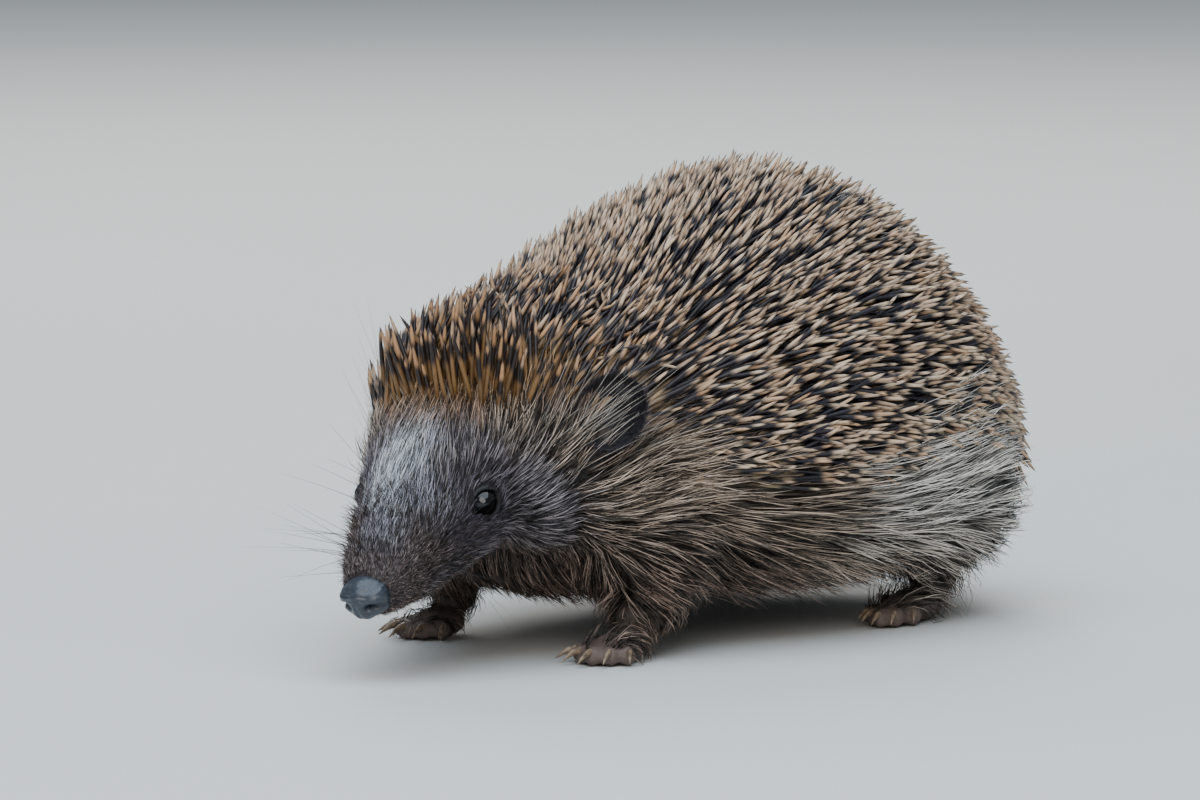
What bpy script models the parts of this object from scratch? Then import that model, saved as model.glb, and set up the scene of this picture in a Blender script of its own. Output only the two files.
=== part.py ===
"""A life-size European hedgehog, standing and nosing along the ground, as a still model.

The solids are the animal's outline out to the tips of its spines and fur. The flesh is modelled whole,
from a few reshaped balls fused into one body, and is then parted with thin cuts where a person would name
its parts. The nose, eyes, ears, tail, paws and claws are modelled on their own and let into the flesh with
the same thin gap.

Frame: metres, +Z up. The animal faces -Y and its left side is at +X. The soles stand on Z = 0.
"""

import math

import bmesh
import bpy
from mathutils import Matrix, Vector

MM = 0.001
GAP = 0.4 * MM  # between neighbouring solids
HUGE = 0.5  # side of the blocks that make straight cuts
SIDES = {"left": 1, "right": -1}

# The head slopes down to the nose. Its own frame has t running back from the nose tip. All of the body ahead
# of the neck is turned a little to the animal's left.
NOSE_TIP = Vector((0, -112, 17)) * MM
HEAD_PITCH = math.radians(32)
HEAD_TURN = math.radians(7)
NECK_Y = -37 * MM
NECK_BEND = 30 * MM  # length over which the turn grows to its whole amount

# Rounds of the head, in mm: t, half width, height above the head's line, depth below it.
HEAD_ROUNDS = (
    (2.0, 5.8, 5.4, 4.8),
    (9.0, 9.8, 9.0, 7.6),
    (18.0, 13.0, 11.8, 10.0),
    (27.0, 15.8, 13.8, 11.8),
    (36.0, 18.6, 16.0, 13.6),
    (46.0, 23.4, 17.6, 17.4),
    (58.0, 29.0, 18.0, 22.0),
    (72.0, 34.0, 18.0, 26.0),
    (90.0, 34.0, 14.0, 26.0),
)
# Rounds of the trunk with its coat of spines, in mm: y, half width, top, bottom, height of the widest line.
TRUNK_ROUNDS = (
    (-91.0, 13.0, 71.0, 53.0, 61.0),
    (-85.0, 19.5, 77.0, 44.0, 59.0),
    (-75.0, 23.0, 80.0, 34.0, 56.0),
    (-62.0, 26.5, 80.0, 22.0, 52.0),
    (-50.0, 31.5, 79.0, 14.0, 46.0),
    (-36.0, 41.5, 81.5, 10.0, 41.0),
    (-15.0, 52.5, 90.0, 8.0, 38.0),
    (5.0, 57.0, 98.0, 7.0, 36.0),
    (25.0, 58.5, 103.5, 7.0, 34.0),
    (45.0, 58.0, 104.5, 7.0, 32.0),
    (65.0, 53.0, 97.0, 7.5, 31.0),
    (84.0, 44.0, 82.0, 9.0, 30.0),
    (100.0, 30.0, 60.0, 11.0, 29.0),
    (111.0, 15.0, 44.0, 16.0, 28.0),
)
ARCH_POWER = 2.0  # of the back's section: 2 is an ellipse
BELLY_POWER = 2.6  # of the underside's section, which is fuller at its edges

# The muscles that bulge from the trunk and the head: middle on the left side, and half sizes, in mm. The
# cheek's middle is in the head's own frame.
MUSCLES = (
    ("haunch_", (38, 61, 27), (18, 24, 19)),
    ("shoulder_", (31, -34, 28), (15, 18, 18)),
)
CHEEK_AT, CHEEK_SIZE = (50, 17, -9), (12, 15, 12)

# How finely forms are fused, how often the whole is smoothed, and the triangles that it keeps.
FLESH_FINISH = dict(voxel=2.0 * MM, smoothing=12, triangles=2700)
PAW_FINISH = dict(voxel=0.7 * MM, smoothing=4, triangles=270)

NOSE_AT, NOSE_SIZE = (1.8, 0, 0.9), (5.0, 5.2, 4.4)

EYE_RADIUS = 3.25 * MM
EYE_AT = (32.3, 14.4, 4.2)  # t, out to the side, up, in mm
EAR_AT = (69.3, 28.6, 2.1)
EAR_HEIGHT = 17.5 * MM
EAR_WIDTH = 15.0 * MM
EAR_DISH = 5.0 * MM
EAR_THICK = 1.8 * MM
EAR_HOLLOW_WAY = (0.62, -0.74, 0.25)  # where the left ear's hollow looks
EAR_RISE = (0.35, 0.25, 1)  # where the left ear's top points

TAIL_ROOT = Vector((0, 96, 23)) * MM
TAIL_TIP = Vector((0, 111, 10)) * MM
TAIL_ROOT_RADIUS = 5.0 * MM
TAIL_TIP_RADIUS = 1.8 * MM

NECK_FRONT = Vector((0, -42, 50)) * MM  # a point of the cut behind the ears
NECK_LENGTH = 14.0 * MM
NECK_LEAN = math.radians(-14)  # of the neck's two cuts, which run down and forwards from behind the ears
SKIRT_FRONT = Vector((0, -40, 43)) * MM  # the line where the spines end runs between these two
SKIRT_REAR = Vector((0, 112, 34)) * MM
MOUTH_DROP = 4.4  # of the mouth's line below the head's line, in mm
MOUTH_CORNER = 30.0  # t of the mouth's corner, in mm


def turned(point):
    """The point's place once the front of the body has been turned at the neck."""
    share = min(1, max(0, (NECK_Y - point.y) / NECK_BEND))
    turn = Matrix.Rotation(HEAD_TURN * share * share * (3 - 2 * share), 3, "Z")
    pivot = Vector((0, NECK_Y, 0))
    return pivot + turn @ (point - pivot)


HEAD_BASIS = Matrix.Rotation(HEAD_TURN, 3, "Z") @ Matrix.Rotation(HEAD_PITCH, 3, "X")
HEAD_OUT, HEAD_BACK, HEAD_UP = HEAD_BASIS.col


def head_place(t, out, up):
    """A point of the head from its t, its way out to the side and its height, in mm."""
    back, rise = math.cos(HEAD_PITCH), math.sin(HEAD_PITCH)
    return turned(NOSE_TIP + Vector((out, t * back - up * rise, t * rise + up * back)) * MM)


def rounds_at(rounds, t):
    """The values of a table of rounds at t, on a smooth curve through its rows."""
    t = min(max(t, rounds[0][0]), rounds[-1][0])
    last = len(rounds) - 1
    i = next(k for k in range(last) if t <= rounds[k + 1][0])
    before, start, end, after = rounds[max(i - 1, 0)], rounds[i], rounds[i + 1], rounds[min(i + 2, last)]
    span = end[0] - start[0]
    u = (t - start[0]) / span
    values = []
    for k in range(1, len(start)):
        leave = (end[k] - before[k]) / (end[0] - before[0]) * span
        arrive = (after[k] - start[k]) / (after[0] - start[0]) * span
        values.append(
            start[k] * (2 * u**3 - 3 * u**2 + 1)
            + leave * (u**3 - 2 * u**2 + u)
            + end[k] * (3 * u**2 - 2 * u**3)
            + arrive * (u**3 - u**2)
        )
    return values


def squared(value, power):
    """A sine or cosine bent so that a round drawn with it nears a box as power grows from 2, an ellipse."""
    return math.copysign(abs(value) ** (2 / power), value)


def ball(name, around, along, place):
    """A ball whose poles are a form's two ends. place(u, angle) gives each point, with u from 0 to 1."""
    shape = bmesh.new()
    bmesh.ops.create_uvsphere(shape, u_segments=around, v_segments=along, radius=1)
    for vert in shape.verts:
        u = math.acos(max(-1, min(1, -vert.co.z))) / math.pi
        vert.co = place(u, math.atan2(vert.co.y, vert.co.x))
    bmesh.ops.recalc_face_normals(shape, faces=shape.faces)
    return finished(name, shape)


def finished(name, shape):
    """An object holding this bmesh, shaded smooth, with its faces turned outwards."""
    if shape.calc_volume(signed=True) < 0:
        bmesh.ops.reverse_faces(shape, faces=shape.faces)
    mesh = bpy.data.meshes.new(name)
    shape.to_mesh(mesh)
    shape.free()
    mesh.shade_smooth()
    obj = bpy.data.objects.new(name, mesh)
    bpy.context.scene.collection.objects.link(obj)
    return obj


def egg(name, centre, size, turn=Matrix.Identity(3), around=20, along=12):
    """An ellipsoid of these half sizes, turned about its centre."""

    def place(u, angle):
        wide = math.sin(math.pi * u)
        spot = Vector((math.cos(angle) * wide, math.sin(angle) * wide, -math.cos(math.pi * u)))
        return centre + turn @ Vector(a * b for a, b in zip(spot, size))

    return ball(name, around, along, place)


def limb(name, start, end, start_radius, end_radius):
    """A rounded limb that tapers from start to end."""
    way = (end - start).normalized()
    turn = way.to_track_quat("Z", "Y").to_matrix()
    length = (end - start).length

    def place(u, angle):
        radius = start_radius + (end_radius - start_radius) * u
        wide = radius * min(1, 2.2 * math.sin(math.pi * u)) ** 0.5
        return start + turn @ Vector((math.cos(angle) * wide, math.sin(angle) * wide, length * u))

    return ball(name, 12, 9, place)


def modify(obj, kind, **settings):
    modifier = obj.modifiers.new(kind.lower(), kind)
    for name, value in settings.items():
        setattr(modifier, name, value)
    return modifier


def settle(obj):
    """Gives the object the mesh that its modifiers make, and clears them."""
    graph = bpy.context.evaluated_depsgraph_get()
    old = obj.data
    obj.data = bpy.data.meshes.new_from_object(obj.evaluated_get(graph), depsgraph=graph)
    obj.modifiers.clear()
    bpy.data.meshes.remove(old)
    return obj


def triangle_count(mesh):
    return sum(len(face.vertices) - 2 for face in mesh.polygons)


def fuse(name, forms, voxel, smoothing, triangles):
    """One closed body from forms that overlap, smoothed and thinned to about this many triangles."""
    whole = forms[0]
    with bpy.context.temp_override(active_object=whole, selected_editable_objects=forms):
        bpy.ops.object.join()
    whole.name = name
    modify(whole, "REMESH", mode="VOXEL", voxel_size=voxel, use_smooth_shade=True)
    modify(whole, "SMOOTH", factor=0.5, iterations=smoothing)
    settle(whole)
    ratio = min(1, triangles / triangle_count(whole.data))
    modify(whole, "DECIMATE", ratio=ratio, use_collapse_triangulate=True)
    return settle(whole)


def cut_away(obj, cutter):
    """Takes the cutter's shape out of the object, and removes the cutter."""
    modify(obj, "BOOLEAN", operation="DIFFERENCE", object=cutter)
    settle(obj)
    bpy.data.objects.remove(cutter)


def block_beyond(point, way):
    """A block that fills all the space on the side of a plane through point that way looks towards."""
    shape = bmesh.new()
    way = way.normalized()
    turn = way.to_track_quat("Z", "Y").to_matrix().to_4x4()
    middle = Matrix.Translation(point + way * HUGE / 2)
    bmesh.ops.create_cube(shape, size=HUGE, matrix=middle @ turn)
    return finished("block", shape)


def copy_of(obj, name):
    copy = bpy.data.objects.new(name, obj.data.copy())
    bpy.context.scene.collection.objects.link(copy)
    return copy


def trimmed(whole, name, cuts):
    """A copy of the whole body without what lies beyond each (point, way) plane."""
    piece = copy_of(whole, name)
    for point, way in cuts:
        cut_away(piece, block_beyond(point, way))
    return piece


def hull_of(obj):
    """The obj's shape with every hollow filled, as a helper."""
    shape = bmesh.new()
    shape.from_mesh(obj.data)
    made = bmesh.ops.convex_hull(shape, input=shape.verts)
    inside = set(made["geom_interior"]) | set(made["geom_unused"])
    bmesh.ops.delete(shape, geom=[v for v in inside if isinstance(v, bmesh.types.BMVert)], context="VERTS")
    outer = {face for face in made["geom"] if isinstance(face, bmesh.types.BMFace)}
    bmesh.ops.delete(shape, geom=[face for face in shape.faces if face not in outer], context="FACES_ONLY")
    return finished("hull", shape)


def let_in(flesh, pieces, filled=False):
    """Makes room in the flesh for each piece, with the gap round it. A filled room takes in hollows too."""
    for piece in pieces:
        cutter = hull_of(piece) if filled else copy_of(piece, "room")
        modify(cutter, "DISPLACE", strength=GAP, mid_level=0)
        cut_away(flesh, settle(cutter))


def make_trunk_form():
    first, last = TRUNK_ROUNDS[0][0], TRUNK_ROUNDS[-1][0]

    def place(u, angle):
        y = first + (last - first) * u
        half, top, bottom, wide = rounds_at(TRUNK_ROUNDS, y)
        close = min(1, 5 * math.sin(math.pi * u)) ** 0.5
        if math.sin(angle) > 0:
            reach, power = top - wide, ARCH_POWER
        else:
            reach, power = wide - bottom, BELLY_POWER
        x = half * close * squared(math.cos(angle), power)
        z = wide + reach * close * squared(math.sin(angle), power)
        return turned(Vector((x, y, z)) * MM)

    return ball("trunk_form", 48, 40, place)


def make_head_form():
    first, last = HEAD_ROUNDS[0][0], HEAD_ROUNDS[-1][0]

    def place(u, angle):
        t = first + (last - first) * u
        half, above, below = rounds_at(HEAD_ROUNDS, t)
        close = min(1, 4 * math.sin(math.pi * u)) ** 0.5
        reach = above if math.sin(angle) > 0 else below
        return head_place(t, half * close * math.cos(angle), reach * close * math.sin(angle))

    return ball("head_form", 36, 30, place)


def make_flesh_forms():
    """The balls that are fused into the body: head, trunk, haunches and shoulders."""
    forms = [make_trunk_form(), make_head_form()]
    for side, sign in SIDES.items():
        t, out, up = CHEEK_AT
        forms.append(egg("cheek_" + side, head_place(t, out * sign, up), Vector(CHEEK_SIZE) * MM))
        for name, (out, y, z), size in MUSCLES:
            forms.append(egg(name + side, Vector((out * sign, y, z)) * MM, Vector(size) * MM))
    return forms


def paint(obj, colour, roughness):
    material = bpy.data.materials.new(obj.name)
    material.use_nodes = True
    shader = material.node_tree.nodes["Principled BSDF"]
    shader.inputs["Base Color"].default_value = (*colour, 1)
    shader.inputs["Roughness"].default_value = roughness
    shader.inputs["Metallic"].default_value = 0
    obj.data.materials.clear()
    obj.data.materials.append(material)


FUR = (0.20, 0.14, 0.10)
SPINES = (0.26, 0.19, 0.13)
SKIN = (0.10, 0.08, 0.08)
CLAW = (0.16, 0.12, 0.10)
BLACK = (0.006, 0.005, 0.006)


def make_nose():
    """The bare wet pad at the tip of the snout, a little wider than high."""
    nose = egg("nose", head_place(*NOSE_AT), Vector(NOSE_SIZE) * MM, around=14, along=9)
    paint(nose, (0.05, 0.05, 0.06), 0.35)
    return nose


def make_eyes():
    eyes = []
    for side, sign in SIDES.items():
        t, out, up = EYE_AT
        centre = head_place(t, out * sign, up)
        eye = egg("eye_" + side, centre, Vector((1, 1, 1)) * EYE_RADIUS, around=12, along=8)
        paint(eye, BLACK, 0.05)
        eyes.append(eye)
    return eyes


def make_ears():
    """Each ear is a round dish with a thick rim, standing out from the head with its hollow to the front."""
    ears = []
    for side, sign in SIDES.items():
        t, out, up = EAR_AT
        root = head_place(t, out * sign, up)
        mirror = Vector((sign, 1, 1))
        hollow_way = (Vector(EAR_HOLLOW_WAY) * mirror).normalized()
        rise = (Vector(EAR_RISE) * mirror).normalized()
        across = rise.cross(hollow_way).normalized()
        rise = hollow_way.cross(across)
        turn = Matrix((across, rise, hollow_way)).transposed()

        def place(u, angle, turn=turn, root=root):
            # u runs from the middle of the back, over the rim, to the middle of the hollow.
            wide = math.sin(math.pi * u) ** 0.8
            face = 1 if u > 0.5 else -1
            dish = EAR_DISH * (wide**2 - 1)
            thick = EAR_THICK / 2 * face * (1 - wide**6) ** 0.5
            x = EAR_WIDTH / 2 * wide * math.cos(angle)
            y = EAR_HEIGHT / 2 * wide * math.sin(angle)
            return root + turn @ Vector((x, y, dish + thick))

        ear = ball("ear_" + side, 16, 10, place)
        paint(ear, SKIN, 0.6)
        ears.append(ear)
    return ears


def make_tail():
    """A short thin tail that hangs below the spines of the rump."""
    tail = limb("tail", TAIL_ROOT, TAIL_TIP, TAIL_ROOT_RADIUS, TAIL_TIP_RADIUS)
    paint(tail, SKIN, 0.7)
    return tail


# A paw's palm has these half sizes, and its toes spread over the fan's angle in degrees. Lengths are in mm.
FRONT_PAW = dict(palm=(6.6, 7.0, 4.2), toe_length=9.0, toe_radius=2.1, fan=62, claw=6.6, claw_radius=1.05)
HIND_PAW = dict(palm=(6.6, 14.0, 4.4), toe_length=9.5, toe_radius=2.1, fan=44, claw=5.6, claw_radius=0.95)
# Each leg, in mm: its side, its paw, the sole's middle, its turn outwards in degrees, the wrist or heel, the
# elbow or knee, and the wrist's radius.
LEGS = {
    "leg_front_left": (1, FRONT_PAW, (30, -48), 4, (30, -46, 3), (32, -32, 24), 6.0),
    "leg_front_right": (-1, FRONT_PAW, (29, -36), 8, (29, -34, 3), (31, -27, 24), 6.0),
    "leg_hind_left": (1, HIND_PAW, (36, 50), 12, (35, 57, 3), (38, 60, 24), 6.8),
    "leg_hind_right": (-1, HIND_PAW, (36, 64), 12, (35, 71, 3), (38, 69, 24), 6.8),
}
TOES = 5


def make_claw(name, root, way, length, radius):
    """A claw that starts at root along way and bends downwards to a blunt point."""
    down = Vector((0, 0, -1))

    def place(u, angle):
        bend = 0.30 * u * u
        line = root + way * length * (u - 0.08 * u * u) + down * length * bend
        thick = radius * min(1, 4 * math.sin(math.pi * min(u, 0.5))) ** 0.5 * (1 - 0.8 * u**1.5)
        side = way.cross(down).normalized()
        up = side.cross(way)
        return line + (side * math.cos(angle) + up * math.sin(angle)) * thick

    claw = ball(name, 5, 5, place)
    paint(claw, CLAW, 0.4)
    return claw


def make_paw(leg, sign, form, spot, turnout):
    """A paw with five toes on a flat sole, and its claws."""
    name = leg.replace("leg", "paw")
    turn = Matrix.Rotation(math.radians(turnout * sign), 3, "Z")
    middle = Vector((spot[0] * sign, spot[1], 0)) * MM
    palm_size = Vector(form["palm"]) * MM
    palm = middle + Vector((0, 0, palm_size.z * 0.72))
    forms = [egg("palm", palm, palm_size, turn, 20, 12)]
    claws = []
    radius, length = form["toe_radius"] * MM, form["toe_length"] * MM
    for toe in range(TOES):
        share = toe / (TOES - 1) - 0.5
        angle = math.radians(form["fan"]) * share
        reach = palm_size.y * (1 - 0.55 * abs(2 * share) ** 2)
        start = middle + turn @ Vector((math.sin(angle) * palm_size.x * 1.2, -reach * 0.62, radius * 1.25))
        way = turn @ Vector((math.sin(angle), -math.cos(angle), -0.06)).normalized()
        long = length * (1 - 0.22 * abs(2 * share))
        forms.append(limb("toe", start - way * radius, start + way * long, radius * 1.15, radius * 0.95))
        root = start + way * (long - radius * 0.9) + Vector((0, 0, radius * 0.25))
        claw_way = (way + Vector((0, 0, 0.12))).normalized()
        number = toe + 1 if sign < 0 else TOES - toe
        claw_name = f"{leg.replace('leg', 'claw')}_{number}"
        claws.append(make_claw(claw_name, root, claw_way, form["claw"] * MM, form["claw_radius"] * MM))
    paw = fuse(name, forms, **PAW_FINISH)
    cut_away(paw, block_beyond(Vector((0, 0, 0)), Vector((0, 0, -1))))
    paint(paw, SKIN, 0.6)
    return paw, claws


def centre_on_origin():
    """Moves every solid alike, so that the middle of the whole stands on the origin."""
    spots = [vert.co.y for obj in bpy.data.objects for vert in obj.data.vertices]
    sides = [vert.co.x for obj in bpy.data.objects for vert in obj.data.vertices]
    middle = Vector((min(sides) + max(sides), min(spots) + max(spots), 0)) / 2
    for obj in bpy.data.objects:
        obj.data.transform(Matrix.Translation(-middle))


def main():
    for obj in list(bpy.data.objects):
        bpy.data.objects.remove(obj)

    nose, eyes, ears, tail = make_nose(), make_eyes(), make_ears(), make_tail()
    paws, all_claws, legs = [], [], []
    for name, (sign, form, spot, turnout, wrist, elbow, radius) in LEGS.items():
        paw, claws = make_paw(name, sign, form, spot, turnout)
        wrist, elbow = (Vector((x * sign, y, z)) * MM for x, y, z in (wrist, elbow))
        leg = limb(name, elbow, wrist, radius * 1.5 * MM, radius * MM)
        paint(leg, FUR, 0.8)
        let_in(paw, claws)
        paws.append(paw)
        legs.append(leg)
        all_claws += claws

    flesh = fuse("flesh", make_flesh_forms(), **FLESH_FINISH)
    let_in(flesh, [nose, *eyes, tail])
    let_in(flesh, ears, filled=True)
    for leg, paw in zip(legs, paws):
        let_in(leg, [flesh, paw])

    back = Matrix.Rotation(HEAD_TURN / 2, 3, "Z") @ Vector((0, math.cos(NECK_LEAN), math.sin(NECK_LEAN)))
    trunk_face = NECK_FRONT + back * NECK_LENGTH
    head_cut = (NECK_FRONT - back * GAP / 2, back)
    neck_cuts = [(NECK_FRONT + back * GAP / 2, -back), (trunk_face - back * GAP / 2, back)]
    trunk_cut = (trunk_face + back * GAP / 2, -back)

    skirt_up = Vector((1, 0, 0)).cross(SKIRT_REAR - SKIRT_FRONT).normalized()
    above = (SKIRT_FRONT - skirt_up * GAP / 2, skirt_up)
    below = (SKIRT_FRONT + skirt_up * GAP / 2, -skirt_up)

    mouth_at = head_place(0, 0, -MOUTH_DROP)
    corner = head_place(MOUTH_CORNER, 0, -MOUTH_DROP)

    head = trimmed(flesh, "head", [head_cut])
    jaw_cuts = [(mouth_at - HEAD_UP * GAP, HEAD_UP), (corner - HEAD_BACK * GAP, HEAD_BACK)]
    jaw = trimmed(flesh, "lower_jaw", jaw_cuts)
    let_in(head, [jaw])
    neck = trimmed(flesh, "neck", neck_cuts)
    spiny_back = trimmed(flesh, "spiny_back", [trunk_cut, below])
    belly = trimmed(flesh, "belly", [trunk_cut, above])
    bpy.data.objects.remove(flesh)
    for obj in (head, jaw, neck, belly):
        paint(obj, FUR, 0.8)
    paint(spiny_back, SPINES, 0.6)
    centre_on_origin()


main()
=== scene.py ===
# %% [markdown]
# # A hedgehog, nosing along the ground
#
# A museum model of a live animal is built from the inside out, and so is this one. First comes the bare
# body, one skin with its lids and lips. The wet parts and the claws are set into it. Then the coat is laid
# over it strand by strand: about six and a half thousand spines on the back, and fur on everything else.
# The ears join last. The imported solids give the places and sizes, and the coat's tips end about where those
# solids end.

# %% Load the frame
import math

import bmesh
import bpy
import numpy as np
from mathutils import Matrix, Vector
from mathutils.bvhtree import BVHTree
from mathutils.kdtree import KDTree


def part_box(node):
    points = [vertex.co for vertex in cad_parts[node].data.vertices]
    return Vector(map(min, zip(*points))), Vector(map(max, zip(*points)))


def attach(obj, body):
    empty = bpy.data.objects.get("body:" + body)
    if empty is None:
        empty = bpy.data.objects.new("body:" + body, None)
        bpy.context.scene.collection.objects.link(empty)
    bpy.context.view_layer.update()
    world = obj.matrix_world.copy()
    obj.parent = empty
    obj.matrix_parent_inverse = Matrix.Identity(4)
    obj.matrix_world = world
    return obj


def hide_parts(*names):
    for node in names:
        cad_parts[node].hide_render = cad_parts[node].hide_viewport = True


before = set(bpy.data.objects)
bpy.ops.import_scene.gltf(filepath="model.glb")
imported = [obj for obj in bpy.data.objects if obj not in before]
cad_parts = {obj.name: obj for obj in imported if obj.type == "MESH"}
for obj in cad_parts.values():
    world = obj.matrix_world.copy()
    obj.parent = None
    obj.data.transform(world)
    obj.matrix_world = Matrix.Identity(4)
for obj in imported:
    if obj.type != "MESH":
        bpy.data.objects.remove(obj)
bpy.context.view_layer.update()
MM = 0.001
SIDES = {"left": 1, "right": -1}
draws = np.random.default_rng(1407)

# %% [markdown]
# ## Finding the head
#
# The head slopes down to the nose and is turned a little to the left, so nothing on it lines up with the
# room's axes. It gets axes of its own, measured from the eyes and the nose: **t** runs back from the tip of
# the nose, **out** to the animal's left and **up** away from the jaw. The turn grows over the neck, so a
# point's share of it depends on how far forward it is.

# %% The head's axes
EYE_BEHIND_NOSE = np.array((30.5, 0, 3.3))  # from the nose's middle to between the eyes: t, out and up, in mm
NOSE_MIDDLE = np.array((1.8, 0, 0.9))  # from the tip of the nose
NECK_Y = -35.2  # where the turn starts, in mm
NECK_BEND = 30.0  # how much further forward it is whole


def middle(node):
    low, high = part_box(node)
    return np.array((low + high) / 2) / MM


def unit(ways):
    ways = np.asarray(ways, float)
    return ways / np.maximum(np.linalg.norm(ways, axis=-1, keepdims=True), 1e-9)


def smoothstep(value, low, high):
    share = np.clip((value - low) / (high - low), 0, 1)
    return share * share * (3 - 2 * share)


def about_z(points, angle):
    """Points turned about the neck's upright axis, each by its own angle."""
    points = np.asarray(points, float)
    x, y = points[..., 0], points[..., 1] - NECK_Y
    turned_x = x * np.cos(angle) - y * np.sin(angle)
    turned_y = x * np.sin(angle) + y * np.cos(angle)
    return np.stack((turned_x, turned_y + NECK_Y, points[..., 2]), -1)

# %% Measure the head's turn and pitch
nose_at, eye_left_at, eye_right_at = (middle(node) for node in ("nose", "eye_left", "eye_right"))
across = unit(eye_left_at - eye_right_at)
HEAD_TURN = math.atan2(across[1], across[0])
line = about_z((eye_left_at + eye_right_at) / 2, -HEAD_TURN) - about_z(nose_at, -HEAD_TURN)
HEAD_PITCH = math.atan2(line[2], line[1]) - math.atan2(EYE_BEHIND_NOSE[2], EYE_BEHIND_NOSE[0])
BACK = np.array((0, math.cos(HEAD_PITCH), math.sin(HEAD_PITCH)))
UP = np.array((0, -math.sin(HEAD_PITCH), math.cos(HEAD_PITCH)))
OUT = np.array((1.0, 0, 0))
AXES = np.array((BACK, OUT, UP))
TIP = about_z(nose_at, -HEAD_TURN) - NOSE_MIDDLE @ AXES


def turn_share(y):
    return smoothstep(NECK_Y - y, 0, NECK_BEND)


def from_head(places):
    """Points in mm from their t, out and up."""
    straight = TIP + np.asarray(places, float) @ AXES
    return about_z(straight, HEAD_TURN * turn_share(straight[..., 1]))


def in_head(points):
    """The t, out and up of points, all in mm."""
    points = np.asarray(points, float)
    straight = about_z(points, -HEAD_TURN * turn_share(points[..., 1]))
    return (straight - TIP) @ AXES.T


def way_from_head(ways):
    return about_z(np.asarray(ways, float) @ AXES + (0, NECK_Y, 0), HEAD_TURN) - (0, NECK_Y, 0)


degrees = [round(math.degrees(angle), 1) for angle in (HEAD_PITCH, HEAD_TURN)]
print("head: pitched and turned by", degrees, "degrees, tip at", TIP.round(2))

# %% [markdown]
# ## The bare body
#
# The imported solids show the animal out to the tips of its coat. Its skin lies inside them: half a
# millimetre under on the muzzle, a few on the flanks, and twelve on the back, where the spines stand.
# Pushing the solids' surface in that far would fold it, so the body is drawn again from balls. Each is a
# `create_uvsphere` whose rings are moved to the rounds of a table, thinner than the solids by the depth of
# the coat, and a voxel remesh then fuses the balls and the legs into one skin.

# %% Rounds of the body under its coat
HEAD_ROUNDS = (  # t, half width, height above the head's line, depth below it, in mm
    (1.0, 5.5, 4.9, 4.4),
    (9.0, 9.1, 8.2, 7.0),
    (18.0, 12.0, 10.8, 9.2),
    (27.0, 14.6, 12.6, 10.6),
    (36.0, 17.2, 14.6, 12.0),
    (46.0, 21.2, 15.6, 14.8),
    (58.0, 25.0, 15.0, 18.5),
    (72.0, 27.5, 13.6, 21.0),
    (90.0, 28.0, 9.0, 21.0),
)
TRUNK_ROUNDS = (  # y, half width, top, bottom, height of the widest line, in mm
    (-62.0, 12.0, 58.0, 36.0, 46.0),
    (-48.0, 26.0, 65.0, 19.0, 43.0),
    (-34.0, 34.5, 69.0, 14.5, 41.0),
    (-13.0, 44.5, 78.0, 12.0, 38.0),
    (7.0, 49.0, 85.5, 11.0, 36.0),
    (27.0, 50.5, 91.0, 11.0, 34.0),
    (47.0, 50.0, 92.0, 11.0, 32.0),
    (67.0, 45.0, 84.5, 11.5, 31.0),
    (86.0, 36.0, 70.0, 13.0, 30.0),
    (99.0, 24.0, 53.0, 15.5, 29.5),
    (106.0, 12.0, 43.0, 19.0, 29.0),
)
ROUND, BELLY_POWER = 2, 2.4  # 2 is an ellipse, and more is nearer a box
MUSCLES = (  # middle on the left side and half sizes, in mm: haunch, shoulder and neck
    ((33, 63, 26), (16, 22, 16)),
    ((27, -32, 27), (13, 16, 16)),
    ((23, -42, 40), (13, 18, 16)),
)
CHEEK = ((50, 15.5, -8), (10, 13, 10))  # its middle in t, out and up

# %% Balls, eggs and limbs
def rounds_at(rounds, t):
    """The values of a table of rounds at t, on a smooth curve through its rows."""
    rows = np.array(rounds)
    t = min(max(t, rows[0, 0]), rows[-1, 0])
    i = min(int(np.searchsorted(rows[:, 0], t, side="right")) - 1, len(rows) - 2)
    before, start, end, after = rows[max(i - 1, 0)], rows[i], rows[i + 1], rows[min(i + 2, len(rows) - 1)]
    span = end[0] - start[0]
    u = (t - start[0]) / span
    leave = (end - before) / (end[0] - before[0]) * span
    arrive = (after - start) / (after[0] - start[0]) * span
    ease = 2 * u**3 - 3 * u**2 + 1
    return (start * ease + leave * (u**3 - 2 * u**2 + u) + end * (1 - ease) + arrive * (u**3 - u**2))[1:]


def squared(value, power):
    return math.copysign(abs(value) ** (2 / power), value)


def add_ball(shape, around, along, place):
    """A ball whose poles are a form's two ends. place(u, angle) gives points in mm, with u from 0 to 1."""
    for vert in bmesh.ops.create_uvsphere(shape, u_segments=around, v_segments=along, radius=1)["verts"]:
        u = math.acos(max(-1, min(1, -vert.co.z))) / math.pi
        vert.co = Vector(place(u, math.atan2(vert.co.y, vert.co.x))) * MM


def trunk_place(u, angle):
    y = TRUNK_ROUNDS[0][0] + (TRUNK_ROUNDS[-1][0] - TRUNK_ROUNDS[0][0]) * u
    half, top, bottom, wide = rounds_at(TRUNK_ROUNDS, y)
    close = min(1, 5 * math.sin(math.pi * u)) ** 0.5
    upper = math.sin(angle) > 0
    power = ROUND if upper else BELLY_POWER
    reach = top - wide if upper else wide - bottom
    x = half * close * squared(math.cos(angle), power)
    z = wide + reach * close * squared(math.sin(angle), power)
    return about_z((x, y, z), HEAD_TURN * turn_share(y))


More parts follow.
